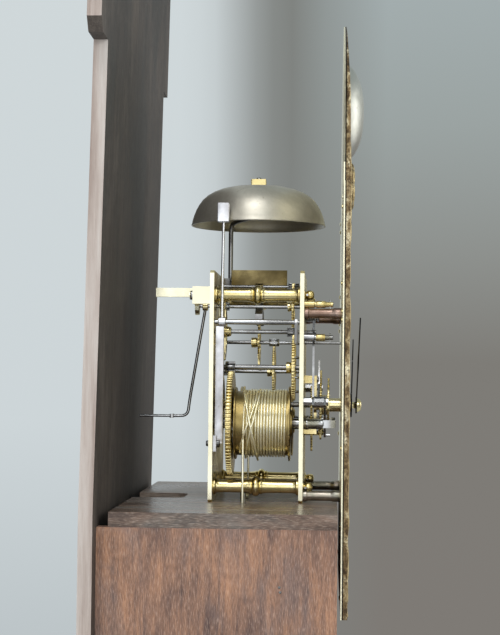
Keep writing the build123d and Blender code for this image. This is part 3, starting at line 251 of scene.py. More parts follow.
def pale_edge(f, base):
    """The backboard's left edge is scraped pale."""
    wear_and_highlight = f.noise(60, (1, 1, 0.06), 6, 0.65)
    pale = f.ramp(wear_and_highlight, (0.3, (134, 114, 104)), (0.48, (182, 170, 162)), (0.64, (206, 200, 194)))
    return f.mix(f.facing(0, (0.7, 0.0), (0.9, 1.0)), base, pale)


def metal(name, dark, mid, light, rough=0.3, stain=None, blotch=18.0, grain=(1, 1, 1), bump=0.05,
          metallic=1.0, wear_and_highlight=None):
    """Old metal with cloudy tarnish, fine scratches and darker spots; faces looking left may take a painted
    highlight.
    """
    f = Finish(name, rough, metallic)
    cloud = f.noise(blotch, (1, 1, 1), 6, 0.6, 0.3)
    fine = f.noise(420, grain, 5, 0.7)
    base = f.ramp(cloud, (0.3, dark), (0.48, mid), (0.66, light))
    base = f.mix(f.ramp(fine, (0.4, 0.0), (0.8, 0.25)), base, dark)
    if stain:
        spots = f.ramp(f.noise(110, (1, 1, 1), 4, 0.65, 0.6, (4, 2, 9)), (0.64, 0.0), (0.76, 0.7))
        base = f.mix(spots, base, stain)
    # Painted highlight: faces looking left, towards the lamps, are blended to a paler colour.
    if wear_and_highlight:
        base = f.mix(f.facing(0, (0.8, 0.0), (0.97, 0.85)), base, wear_and_highlight)
    f.colour(base)
    f.rough(f.ramp(cloud, (0.3, min(rough + 0.14, 1.0)), (0.7, max(rough - 0.07, 0.05))))
    return f.bumped(fine, bump, 0.0002)


def dial_edge():
    """Rough gilt casting in front; towards the back a dark painted shadow just before the joint, and the
    plate's own bright edge.
    """
    f = Finish("rough_dial_brass", 0.4, 0.85)
    cloud = f.noise(130, (1, 1, 0.6), 7, 0.7, 0.6)
    lumps = f.noise(420, (1, 1, 1), 5, 0.65, 0.3)
    depth, joint = f.axis(f.coords, 1), (DIAL_FRONT + SHIFT_Y) / 1000
    base = f.ramp(cloud, (0.38, (60, 46, 32)), (0.47, (118, 98, 68)), (0.55, (156, 138, 104)),
                  (0.66, (226, 216, 184)))
    base = f.mix(f.ramp(lumps, (0.48, 0.0), (0.6, 0.8)), base, (74, 60, 44))
    # Painted shadow: a dark band just in front of the joint, where the casting shades the plate.
    base = f.mix(f.spread(depth, joint - 0.0004, joint - 0.0001), base, (34, 28, 22))
    base = f.mix(f.spread(depth, joint + 0.0006, joint + 0.0008), base, (240, 234, 206))
    face = f.ramp(cloud, (0.4, (176, 152, 98)), (0.6, (214, 194, 140)))
    f.colour(f.mix(f.facing(1, (0.6, 0.0), (0.9, 1.0)), base, face))
    f.rough(f.ramp(lumps, (0.3, 0.55), (0.7, 0.28)))
    return f.bumped(f.mix(0.5, cloud, lumps), 0.9, 0.0009)


BRASS_TONES = (192, 172, 116), (220, 204, 150), (238, 226, 182)
BRASS = metal("polished_brass", *BRASS_TONES, 0.2, (140, 116, 70), 22.0)
# The plates' left-facing edges carry a painted highlight.
PLATE_BRASS = metal("plate_brass", *BRASS_TONES, 0.26, (140, 116, 70), 22.0, wear_and_highlight=(232, 228, 204))
# A darkened copy of the brass, used for the fly: painted shade for its darker look.
SHADED_BRASS = metal("painted_shade_brass", (68, 60, 38), (94, 83, 56), (126, 113, 78), 0.26, (64, 54, 32), 30.0)
DRUM_BRASS = metal("barrel_brass", (140, 122, 76), (176, 158, 108), (200, 184, 134), 0.26,
                   (140, 114, 68), 22.0, (1, 0.05, 1))
STEEL = metal("bright_steel", (108, 108, 107), (146, 146, 147), (180, 182, 184), 0.18, (92, 82, 74), 30.0,
              bump=0.02)
# A brighter copy of the steel for the hammer and its spring: painted light for their brighter look.
LIT_STEEL = metal("painted_lit_steel", (168, 168, 170), (204, 204, 208), (228, 229, 232), 0.3, (140, 132, 124),
                   30.0, bump=0.02)
DARK_STEEL = metal("dark_steel", (62, 61, 60), (98, 98, 98), (140, 140, 140), 0.26, (60, 48, 40))
# The line's left-facing side carries a painted highlight.
GUT = metal("gut_line", (232, 218, 166), (247, 238, 194), (254, 250, 224), 0.16, None, 60.0, bump=0.03,
            metallic=0.6, wear_and_highlight=(255, 252, 232))
INK = metal("engraving_wax", (20, 19, 18), (28, 27, 26), (38, 36, 34), 0.55, None, 90.0, bump=0.2,
            metallic=0.0)
MATTED = metal("matted_brass", (160, 134, 78), (196, 170, 108), (216, 194, 134), 0.5, (116, 92, 54), 260.0,
               bump=0.9)
LEAD = metal("cast_lead", (92, 90, 88), (116, 114, 112), (138, 136, 134), 0.55, (80, 74, 68), 26.0, bump=0.6,
             metallic=0.8)
BROWNED = metal("browned_brass", (104, 84, 74), (140, 116, 104), (170, 148, 136), 0.3, (84, 66, 58), 60.0,
                (1, 1, 0.2))
GREENED = metal("greened_brass", (96, 106, 94), (150, 146, 134), (186, 172, 162), 0.3, (84, 106, 96), 60.0)
SILVERED = metal("silvered", (150, 150, 140), (188, 188, 178), (208, 208, 200), 0.38, (120, 108, 84), 30.0)
BLACK_STEEL = metal("black_steel", (18, 18, 20), (30, 30, 33), (46, 46, 50), 0.35)
BELL_METAL = metal("bell_bronze", (156, 150, 138), (190, 185, 172), (212, 208, 196), 0.38,
                   (124, 114, 98), 16.0, (1, 1, 0.25), 0.2, 0.85)
DIAL_BRASS = dial_edge()

MATERIALS = {
    "oak_case": wood("red_brown_oak", (90, 68, 62), (142, 106, 86), (184, 136, 104), (120, 106, 104),
                     (202, 176, 158), 0.42),
    "dark_backboard": wood("dark_board", (44, 38, 33), (68, 60, 54), (92, 84, 77), (62, 58, 55),
                           (112, 104, 98), 0.6, 0.8, pale_edge),
    "seatboard_wood": wood("seatboard", (84, 64, 52), (138, 114, 98), (164, 148, 134), (112, 112, 108),
                           (180, 164, 148), 0.26, 0.8, None, (1, 0.05, 1)),
    "brass": BRASS, "dial_brass": DIAL_BRASS, "steel": STEEL, "gut": GUT, "iron": LEAD,
    "bell_metal": BELL_METAL, "blued_steel": BLACK_STEEL, "silvered_brass": SILVERED,
}

for node, slot in SLOT_OF.items():
    NODES[node].data.materials.clear()
    NODES[node].data.materials.append(MATERIALS[slot])
for node in ("front_plate", "back_plate", "back_cock"):
    NODES[node].data.materials[0] = PLATE_BRASS


# Making pieces

def spot(x, y, h):
    """A place in metres from drawing millimetres."""
    return Vector((x / 1000, (y + SHIFT_Y) / 1000, SEAT_TOP + h / 1000))


def at(x, y, h):
    return Matrix.Translation(spot(x, y, h))


def polar(r, degrees):
    a = math.radians(degrees)
    return (r * math.cos(a), r * math.sin(a))


def off(place, r, degrees):
    dx, dh = polar(r, degrees)
    return (place[0] + dx, place[1] + dh)


def circle(r, count, middle=(0, 0)):
    return [off(middle, r, 360 * k / count) for k in range(count)]


FRONT_VIEW = Matrix(((1, 0, 0, 0), (0, 0, -1, 0), (0, 1, 0, 0), (0, 0, 0, 1)))
BEHIND_VIEW = Matrix(((1, 0, 0, 0), (0, 0, 1, 0), (0, -1, 0, 0), (0, 0, 0, 1)))


class Piece:
    """One object gathered from turned, cut and bent parts, each with its own finish."""

    def __init__(self, name, *finishes):
        self.name, self.finishes = name, finishes
        self.mesh = bmesh.new()

    def take(self, carrier, matrix, finish):
        """Adds a curve or text object's mesh."""
        mesh = bpy.data.meshes.new_from_object(carrier)
        mesh.transform(matrix)
        for face in mesh.polygons:
            face.material_index = finish
        self.mesh.from_mesh(mesh)
        data = carrier.data
        bpy.data.objects.remove(carrier)
        bpy.data.curves.remove(data)
        bpy.data.meshes.remove(mesh)

    def spin(self, points, matrix, finish, steps):
        """Turns (radius, distance) points about the third axis of a matrix."""
        rings = []
        for r, d in points:
            turns = steps if r > 1e-6 else 1
            angles = [2 * math.pi * k / steps for k in range(turns)]
            places = [Vector((r * math.cos(a), r * math.sin(a), d)) / 1000 for a in angles]
            rings.append([self.mesh.verts.new(matrix @ p) for p in places])
        for a, b in zip(rings, rings[1:]):
            for k in range(steps):
                n = (k + 1) % steps
                corners = dict.fromkeys((a[k % len(a)], a[n % len(a)], b[n % len(b)], b[k % len(b)]))
                if len(corners) > 2:
                    self.mesh.faces.new(corners).material_index = finish

    def turned(self, points, place, finish=0, steps=48):
        """Turned about a front to back axis, from (radius, drawing y)."""
        ends = [(0, points[0][1])] + list(points) + [(0, points[-1][1])]
        self.spin(ends, at(place[0], 0, place[1]) @ BEHIND_VIEW, finish, steps)

    def upright(self, points, x, y, finish=0, steps=64):
        """Turned about a vertical axis, from (radius, height above the seatboard)."""
        self.spin(points, at(x, y, 0), finish, steps)

    def sideways(self, points, y, h, steps=20):
        """Turned about a left to right axis, from (radius, x), in the first finish."""
        self.spin(points, at(0, y, h) @ Matrix.Rotation(math.pi / 2, 4, "Y"), 0, steps)

    def cut(self, outlines, place, y0, t, finish=0, bevel=0.12):
        """Cut from sheet, as seen from the front: the first outline is the edge, the others are openings."""
        curve = bpy.data.curves.new("cut", "CURVE")
        curve.dimensions, curve.fill_mode = "2D", "BOTH"
        for points in outlines:
            spline = curve.splines.new("POLY")
            spline.points.add(len(points) - 1)
            for corner, (px, py) in zip(spline.points, points):
                corner.co = (px / 1000, py / 1000, 0, 1)
            spline.use_cyclic_u = True
        curve.extrude, curve.bevel_depth, curve.bevel_resolution = (t / 2 - bevel) / 1000, bevel / 1000, 1
        curve.offset = -bevel / 1000
        carrier = bpy.data.objects.new("cut", curve)
        self.take(carrier, at(place[0], y0 + t / 2, place[1]) @ FRONT_VIEW, finish)

    def box(self, x, y, h, finish=0, bevel=0.3):
        """A squared bar between (low, high) pairs, its edges eased."""
        wide, tall = x[1] - x[0], h[1] - h[0]
        corners = [(sx * wide / 2, sh * tall / 2) for sx, sh in ((-1, -1), (1, -1), (1, 1), (-1, 1))]
        self.cut([corners], ((x[0] + x[1]) / 2, (h[0] + h[1]) / 2), y[0], y[1] - y[0], finish, bevel)

    def wire(self, points, r, radii=None, sides=4, steps=8):
        """A bent round wire through (x, y, h) control points, in the first finish."""
        curve = bpy.data.curves.new("wire", "CURVE")
        curve.dimensions, curve.use_fill_caps = "3D", True
        curve.bevel_depth, curve.bevel_resolution, curve.resolution_u = r / 1000, sides, steps
        spline = curve.splines.new("NURBS")
        spline.points.add(len(points) - 1)
        for k, (knot, p) in enumerate(zip(spline.points, points)):
            knot.co = (*spot(*p), 1)
            knot.radius = radii[k] if radii else 1.0
        spline.order_u, spline.use_endpoint_u = 3, True
        self.take(bpy.data.objects.new("wire", curve), Matrix.Identity(4), 0)

    def words(self, text, place, y, size, turn, thick):
        """A number laid on the dial, in the second finish."""
        curve = bpy.data.curves.new("number", "FONT")
        curve.body, curve.size, curve.extrude = text, size / 1000, thick / 1000
        curve.align_x, curve.align_y, curve.resolution_u = "CENTER", "CENTER", 3
        matrix = at(place[0], y, place[1]) @ FRONT_VIEW @ Matrix.Rotation(turn, 4, "Z")
        self.take(bpy.data.objects.new("number", curve), matrix, 1)

    def done(self, *nodes, body=None, slot=None, sharp=32):
        """Makes the object; it stands for CAD nodes and rides on their body, or rides on the body named.
        Body "none" leaves the riding to the caller."""
        bmesh.ops.remove_doubles(self.mesh, verts=self.mesh.verts, dist=2e-7)
        bmesh.ops.recalc_face_normals(self.mesh, faces=self.mesh.faces)
        mesh = bpy.data.meshes.new(self.name)
        self.mesh.to_mesh(mesh)
        self.mesh.free()
        for finish in self.finishes:
            mesh.materials.append(finish)
        mesh.shade_smooth()
        mesh.set_sharp_from_angle(angle=math.radians(sharp))
        made = add(self.name, mesh)
        if nodes:
            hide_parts(*nodes)
        if body != "none":
            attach(made, body or BODY_OF[nodes[0]])
        return made


# Wheelwork

def mesh_phase(teeth_a, phase_a, direction, teeth_b):
    """Turn of a second wheel whose gap meets the first one's tooth."""
    past = ((direction - phase_a) * teeth_a / 360) % 1
    return direction + 180 - ((0.5 - past) % 1) * 360 / teeth_b


def pair(a, b, teeth_a, teeth_b, phase_a=0.0):
    """Pitch radii of two meshed wheels, and the phase of the second."""
    each = math.dist(a, b) / (teeth_a + teeth_b)
    heading = math.degrees(math.atan2(b[1] - a[1], b[0] - a[0]))
    return each * teeth_a, each * teeth_b, mesh_phase(teeth_a, phase_a, heading, teeth_b)


def toothed(teeth, pitch_r, phase, shape):
    """Outline of equal teeth; shape gives (share of the pitch, rise in modules)."""
    m, step = 2 * pitch_r / teeth, 360 / teeth
    return [polar(pitch_r + m * rise, phase + (i + share) * step)
            for i in range(teeth) for share, rise in shape]


WHEEL_TOOTH = ((-0.5, -1.25), (-0.27, -1.2), (-0.24, 0.0), (-0.19, 0.45), (-0.1, 0.72), (0.0, 0.8),
               (0.1, 0.72), (0.19, 0.45), (0.24, 0.0), (0.27, -1.2))
LEAF = ((-0.5, -1.3), (-0.2, -1.25), (-0.17, 0.0), (-0.14, 0.4), (-0.06, 0.65), (0.06, 0.65), (0.14, 0.4),
        (0.17, 0.0), (0.2, -1.25))


def openings(rim_r, hub_r, count, phase, arm=2.4):
    """The spaces between tapered wheel arms."""
    found = []
    for i in range(count):
        start, end = phase + i * 360 / count, phase + (i + 1) * 360 / count
        outer, inner = math.degrees(arm * 0.45 / rim_r), math.degrees(arm * 0.62 / hub_r)
        rim = [polar(rim_r, start + outer + (end - start - 2 * outer) * k / 12) for k in range(13)]
        hub = [polar(hub_r, end - inner - (end - start - 2 * inner) * k / 8) for k in range(9)]
        found.append(rim + hub)
    return found


def wheel(piece, place, teeth, pitch_r, y0, t, phase=0.0, arms=4, hub_r=5.0):
    m, rim = 2 * pitch_r / teeth, 3.2
    holes = openings(pitch_r - 1.3 * m - rim, hub_r, arms, phase) if arms else []
    piece.cut([toothed(teeth, pitch_r, phase, WHEEL_TOOTH)] + holes, place, y0, t)


def pinion(piece, place, leaves, pitch_r, y0, y1, phase, finish=1):
    piece.cut([toothed(leaves, pitch_r, phase, LEAF)], place, y0, y1 - y0, finish, 0.1)


def arbor(piece, place, r, front=None):
    """Arbor that swells a little at its middle, with turned shoulders and fine pivots."""
    mid = (IN_FRONT + BACK_PLATE) / 2
    line = [(0.9, COCK_FRONT - 0.3), (1.0, BACK_PLATE - 0.4), (r * 0.8, BACK_PLATE - 0.5),
            (r * 0.86, BACK_PLATE - 2.5), (r, mid), (r * 0.86, IN_FRONT + 2.5), (r * 0.8, IN_FRONT + 0.5),
            (1.0, IN_FRONT + 0.4)]
    piece.turned(line + (front or [(0.9, PLATE_FACE + 0.3)]), place, 1, 32)


def collet(piece, place, r, y0, y1):
    """Brass seat of a wheel, coned at its front end."""
    profile = [(r * 0.62, y0), (r * 0.86, y0 + 0.5), (r * 0.9, y0 + 1.4), (r, y0 + 1.8), (r, y1)]
    piece.turned(profile, place, 0, 36)


def mounted(name, place, r, leaves, teeth, seat, front=None):
    """A wheel on its arbor, with its pinion and its collet."""
    p = Piece(name + "_cut", BRASS, STEEL)
    arbor(p, place, r, front)
    pinion(p, place, *leaves)
    wheel(p, place, *teeth)
    collet(p, place, *seat)
    return p


def barrel_parts(name, place, great_n, pitch_r, great_y):
    """Barrel with rolled flanges, ratchet and squared arbor; its great wheel with a collet."""
    b = Piece(name + "_barrel_turned", DRUM_BRASS, STEEL)
    b.turned([(4.4, DRUM_FRONT), (DRUM_R, DRUM_FRONT), (DRUM_R, DRUM_BACK), (4.4, DRUM_BACK)], place, 0, 96)
    for r, y0 in ((28.6, DRUM_FRONT - 1.6), (27.6, DRUM_BACK)):
        b.turned([(r - 0.5, y0), (r, y0 + 0.3), (r, y0 + 1.3), (r - 0.5, y0 + 1.6)], place, 0, 96)
    b.turned([(9.0, -51.6), (10.0, -51.2), (10.2, -50.1)], place)
    ratchet = [polar(r, 15 * i + turn) for i in range(24) for r, turn in ((18.0, 0.0), (20.5, 13.6))]
    b.cut([ratchet], place, -7.4, 1.6 if great_y > -3 else 1.0, 1, 0.1)
    b.turned([(3.9, 11.2), (4.2, 10.9), (4.2, -60.4), (4.5, -62.0), (4.5, -63.6), (4.0, -64.4), (4.0, -74.6),
              (3.2, -75.4)], place, 1)
    b.cut([[(-3, -3), (3, -3), (3, 3), (-3, 3)]], place, -84.4, 10.0, 1, 0.5)
    b.done(name + "_barrel")
    g = Piece(name + "_great_wheel_cut", BRASS)
    back = great_y + 2.8
    front = max(great_y - 1.3, -6.3) if name == "strike" else great_y
    g.cut([toothed(great_n, pitch_r, 0, WHEEL_TOOTH), circle(4.25, 30)], place, front, back - front)
    g.turned([(4.3, back), (10.0, back), (9.0, back + 1.0), (4.3, back + 1.2)], place)
    g.done(name + "_great_wheel")


def strike_train():
    great_r, pin_pr, pin_ph = pair(STRIKE_BARREL, PIN_WHEEL, 84, 8)
    barrel_parts("strike", STRIKE_BARREL, 84, great_r, -5.0)
    pin_r, gather_pr, gather_ph = pair(PIN_WHEEL, GATHERING, 64, 8)
    p = mounted("pin_wheel", PIN_WHEEL, 2.0, (8, pin_pr, -7.0, 0.5, pin_ph), (64, pin_r, -53.4, 2.6),
                (4.4, -50.8, -46.4))
    for i in range(8):
        p.turned([(0.75, -55.9), (0.9, -55.6), (0.9, -51.9)], off(PIN_WHEEL, 20.0, 45 * (i + 0.5)), 1, 16)
    p.done("pin_wheel")
    gather_r, warn_pr, warn_ph = pair(GATHERING, WARNING, 56, 7)
    p = mounted("gathering_wheel", GATHERING, 1.7, (8, gather_pr, -54.5, -46.5, gather_ph),
                (56, gather_r, 0.9, 2.1), (4.0, -3.6, 1.4), [(1.6, -57.0), (1.6, -68.7), (1.3, -69.0)])
    p.done("gathering_wheel")
    warn_r, fly_pr, fly_ph = pair(WARNING, FLY, 49, 7)
    p = mounted("warning_wheel", WARNING, 1.5, (7, warn_pr, -1.0, 6.0, warn_ph), (49, warn_r, -51.8, 2.0),
                (3.6, -49.8, -46.5))
    p.turned([(0.7, -53.6), (0.8, -53.4), (0.8, -51.0)], off(WARNING, 14.4, 60), 1, 12)
    p.done("warning_wheel")
    # The fly's vane takes the darkened brass copy, which is painted shade.
    p = Piece("fly_vane", SHADED_BRASS, STEEL)
    arbor(p, FLY, 1.3)
    pinion(p, FLY, 7, fly_pr, -55.0, -46.5, fly_ph)
    p.box((FLY[0] - 0.35, FLY[0] + 0.35), (-45.5, -1.5), (FLY[1] - 13, FLY[1] + 13), 0, 0.15)
    p.turned([(2.0, -26.6), (2.6, -26.2), (2.6, -20.8), (2.0, -20.4)], FLY)
    p.done("fly")


def going_train():
    great_r, centre_pr, centre_ph = pair(GOING_BARREL, CENTRE, 96, 8)
    barrel_parts("going", GOING_BARREL, 96, great_r, -1.2)
    centre_r, third_pr, third_ph = pair(CENTRE, THIRD, 60, 8)
    p = mounted("centre_wheel", CENTRE, 2.4, (8, centre_pr, -1.8, 2.6, centre_ph), (60, centre_r, 4.6, 1.6),
                (3.9, 2.6, 4.6), [(2.4, -57.0), (2.4, -64.3), (1.5, -64.5), (1.5, -102.2), (1.2, -102.5)])
    p.done("centre_wheel")
    third_r, escape_pr, escape_ph = pair(THIRD, ESCAPE, 64, 8)
    p = mounted("third_wheel", THIRD, 1.7, (8, third_pr, 1.0, 7.6, third_ph), (64, third_r, -36.4, 2.0),
                (4.0, -34.4, -30.0))
    p.done("third_wheel")
    p = Piece("escape_wheel_cut", BRASS, STEEL)
    arbor(p, ESCAPE, 1.6, [(1.4, -57.0), (1.4, -61.0), (1.0, -61.2), (1.0, -93.2), (0.8, -93.4)])
    pinion(p, ESCAPE, 8, escape_pr, -39.5, -31.5, escape_ph)
    tooth = ((14.6, 0.02), (16.4, 0.26), (18.6, 0.46), (18.5, 0.5), (15.2, 0.53), (14.6, 0.62))
    teeth = [polar(r, 12 * (i + share)) for i in range(30) for r, share in tooth]
    p.cut([teeth] + openings(12.2, 4.8, 4, 0, 2.0), ESCAPE, -24.4, 1.4, 0, 0.08)
    collet(p, ESCAPE, 4.0, -23.0, -17.5)
    p.done("escape_wheel")


# Frame, bell and hammer

def pillars():
    """Turned pillars with a double knop, riveted at the back plate."""
    p = Piece("pillars_turned", BRASS)
    mid = (IN_FRONT + BACK_PLATE) / 2
    half = [(6.3, 0), (6.4, 0.4), (6.4, 1.6), (5.6, 2.2), (5.2, 3.0), (4.9, 5.0), (4.8, 14), (5.0, 24),
            (5.3, 27.4), (5.9, 28.0), (6.0, 28.8), (5.4, 29.4), (6.4, 30.2), (7.2, 31.2), (7.5, 32.2)]
    for place in PILLARS:
        line = [(1.4, -67.4), (2.6, -67.0), (3.5, -65.9), (3.8, -64.4), (3.6, -62.8), (3.0, -61.6),
                (2.7, -61.2), (3.4, -60.7), (3.6, PLATE_FACE), (2.6, PLATE_FACE + 0.1), (2.6, IN_FRONT)]
        line += [(r, IN_FRONT + d) for r, d in half] + [(7.5, mid)]
        line += [(r, BACK_PLATE - d) for r, d in reversed(half)]
        p.turned(line, place, 0, 64)
        p.turned([(2.9, COCK_FRONT), (2.7, COCK_FRONT + 0.5), (1.6, COCK_FRONT + 0.8)], place)
    p.done("pillars")


def bell():
    """Bell with a thin flared rim under a squared nut, and its bent stand."""
    dome = [(2.3, 32), (7, 31.9), (14, 31.4), (22, 30.5), (29.5, 28.8), (36, 26.3), (41, 23.3), (44.8, 19.8),
            (47.6, 15.8), (49.8, 11.6), (51.4, 7.4), (52.5, 3.6), (53.0, 0.9), (53.4, 0.3), (53.2, -0.3),
            (52.4, -0.3), (51.6, 0.6), (50.9, 3.8), (49.6, 7.6), (47.8, 11.2), (45.4, 14.8), (42.4, 18.2),
            (38.6, 21.4), (33.4, 24.5), (27, 27.0), (19.6, 28.8), (12, 29.6), (2.3, 30), (2.3, 32)]
    b = Piece("bell_turned", BELL_METAL, BRASS, STEEL)
    b.upright([(r, BELL_RIM + d) for r, d in dome], 0, BELL_Y, 0, 128)
    b.box((-6, 6), (BELL_Y - 6, BELL_Y + 6), (246.5, 251.5), 1, 0.7)
    b.upright([(0, 253.6), (1.4, 253.4), (2.0, 252.8), (2.0, 251.0)], 0, BELL_Y, 2, 24)
    b.done("bell", sharp=40)
    s = Piece("bell_stand_bent", DARK_STEEL, STEEL)
    s.wire([(24, 1.4, 168), (24, 1.4, 200), (24, 1.4, 217), (20, -2.5, 220), (6, -16, 222), (0, BELL_Y, 223),
            (0, BELL_Y, 229), (0, BELL_Y, 243)], 1.9, sides=6)
    s.upright([(0, 242.5), (4.6, 242.5), (4.6, 244.3), (2.0, 244.5), (2.0, 251.3)], 0, BELL_Y, 0, 32)
    s.box((20, 28), (0.4, BACK_PLATE), (165, 174), 0, 0.5)
    s.turned([(2.6, -1.0), (2.8, -0.6), (2.8, 0.4)], (24, 169.5), 1, 24)
    s.done("bell_stand")


def hammer():
    """Hammer on its arbor, with a rod, a squared head and a tail for the lifting pins; its spring."""
    x, h = HAMMER
    p = Piece("hammer_forged", LIT_STEEL, STEEL)
    arbor(p, HAMMER, 2.1)
    p.turned([(3.4, -0.6), (3.8, 0.0), (3.8, 4.4), (3.4, 5.0)], HAMMER)
    rod = ((0, h), (0.4, h + 24), (1.2, h + 46), (3.6, h + 60), (5, 214))
    p.wire([(x + dx, 2.2, height) for dx, height in rod], 1.15, [1.25, 1.1, 0.95, 0.9, 0.9], sides=5)
    p.box((x - 1, x + 9.5), (-2.2, 6.6), (212.5, 226.5), 0, 0.6)
    tail = [(-2.6, 0), (-1.8, 2.2), (1.8, 2.2), (2.6, 0), (5.2, -7), (7.5, -14), (6.6, -16.2), (3.5, -16.5),
            (2.6, -14), (0.4, -8)]
    p.cut([tail], HAMMER, -55.4, 2.6, 0, 0.3)
    p.done("hammer")
    s = Piece("hammer_spring_bent", LIT_STEEL, DARK_STEEL)
    s.box((x - 3, x + 4), (5.2, BACK_PLATE), (38, 50), 0, 0.4)
    s.box((x - 1, x), (0.7, 6.8), (44, 132.6), 0, 0.25)
    s.turned([(1.4, 2.6), (2.6, 2.8), (3.0, 3.4), (3.0, 5.2)], (x, 44), 1, 24)
    s.turned([(2.2, COCK_FRONT), (2.2, 12.6), (1.8, 13.2)], (x, 44), 1, 20)
    s.done("hammer_spring")


def cock_and_crutch():
    """Crutch wire with its fork, and the brass boss it is fixed in; screws of the back cock."""
    c = Piece("crutch_bent", STEEL, BRASS)
    end = 70.8
    c.turned([(3.0, 17.4), (3.6, 17.8), (3.6, 21.4), (3.0, 21.8)], PALLETS, 1)
    c.wire([(0, 19.6, 148), (0, 22.6, 130), (0, 27.4, 100), (0, 31.6, 74), (0, 32.6, 63.4), (0, 42, 63),
            (0, end - 25, 63)], 1.2, sides=5)
    c.box((-4.4, 4.4), (end - 27, end - 24), (61.4, 64.6), 0, 0.5)
    for x in (-3.4, 3.4):
        c.wire([(x, end - 25, 63), (x, end - 12, 63), (x, end, 63)], 1.0, sides=5)
    c.done("crutch")
    s = Piece("cock_screws", STEEL)
    for x in (-24, 24):
        s.turned([(3.6, 27.6), (3.7, 28.6), (3.2, 29.6), (2.4, 29.9)], (x, 157.8), 0, 32)
    s.done(body="root", slot="steel")


# Between the front plate and the dial

def motion_work():
    cannon_r, minute_r, minute_ph = pair(CENTRE, MINUTE, 36, 36)
    p = Piece("cannon_wheel_cut", BRASS)
    wheel(p, CENTRE, 36, cannon_r, -66.4, 1.6, 0, 0)
    p.turned([(2.4, -101.4), (2.6, -101.0), (2.6, -66.4), (4.6, -66.3), (4.6, -64.8)], CENTRE)
    p.done("cannon_wheel")
    leaf_r, hour_r, hour_ph = pair(MINUTE, CENTRE, 6, 72, minute_ph)
    p = Piece("minute_wheel_cut", BRASS, STEEL)
    wheel(p, MINUTE, 36, minute_r, -66.4, 1.6, minute_ph, 0)
    pinion(p, MINUTE, 6, leaf_r, -75.0, -66.0, minute_ph, 0)
    p.turned([(0.7, -69.5), (0.9, -69.2), (0.9, -66.0)], off(MINUTE, 10, 90), 1, 16)
    p.done("minute_wheel")
    p = Piece("hour_wheel_cut", BRASS)
    wheel(p, CENTRE, 72, hour_r, -73.6, 1.6, hour_ph, 4, 8.4)
    p.turned([(5.1, -97.6), (5.4, -97.4), (5.4, -79.0), (8.0, -78.0), (8.0, -73.6)], CENTRE)
    highest, drop = 23.5, 1.15
    snail = [polar(highest - drop * step, 30 * step + 8 + turn)
             for step in range(12) for turn in range(0, 31, 5)]
    p.cut([snail], CENTRE, -79.6, 1.6)
    p.done("hour_wheel")


def front_details():
    """Dial pillars, the upper browned and the lower greened, the plate's bushes and the levers' studs."""
    p = Piece("dial_feet_turned", BROWNED, GREENED)
    for x in (-57, 57):
        for h, finish in ((143.0, 0), (5.5, 1)):
            line = [(4.2, DIAL_BACK), (4.3, -88.0), (4.3, -82.6), (3.8, -81.8), (3.7, -80.4), (3.7, -64.6),
                    (3.9, -63.4), (4.3, -63.0), (4.3, -60.4), (4.2, PLATE_FACE)]
            p.turned(line, (x, h), finish, 48)
    p.done("dial_feet")
    s = Piece("plate_screws", STEEL, BRASS)
    for place in PILLARS:
        s.turned([(4.6, -60.6), (4.9, -60.3), (4.9, PLATE_FACE)], place, 1, 40)
    for x, h, finish in ((-56, 149.9, 1), (-58.6, 124.8, 0)):
        s.turned([(1.4, -82.0), (1.9, -81.6), (1.9, -77.4), (2.0, -77.2), (2.0, -68.0), (2.9, -67.6),
                  (2.9, PLATE_FACE)], (x, h), finish, 32)
        s.turned([(2.5, -76.0), (2.7, -75.6), (2.7, -69.4), (2.5, -69.0)], (x, h), 1, 32)
        s.wire([(x - 1, -79.6, h - 3.2), (x, -79.6, h), (x + 1, -79.6, h + 3.4)], 0.45, sides=3)
    for place in ((0, 93.0), (0, 53.0)):
        s.turned([(1.6, -71.2), (2.4, -70.8), (2.4, -69.6)], place, 0, 24)
    s.done(body="root", slot="steel")


# Dial

def roman(n):
    return ("XII", "I", "II", "III", "IIII", "V", "VI", "VII", "VIII", "IX", "X", "XI")[n % 12]


def ring(piece, place, r_out, r_in, y0, t, finish, count=180):
    piece.cut([circle(r_out, count), circle(r_in, count)], place, y0, t, finish, 0.15)


def stroke(piece, place, r0, r1, degrees, width, y):
    """A short engraved line that points at the middle."""
    x, h = polar(1, degrees)
    corners = [(x * r - side * h * width / 2, h * r + side * x * width / 2)
               for r, side in ((r0, -1), (r1, -1), (r1, 1), (r0, 1))]
    piece.cut([corners], place, y, 0.12, 1, 0.02)


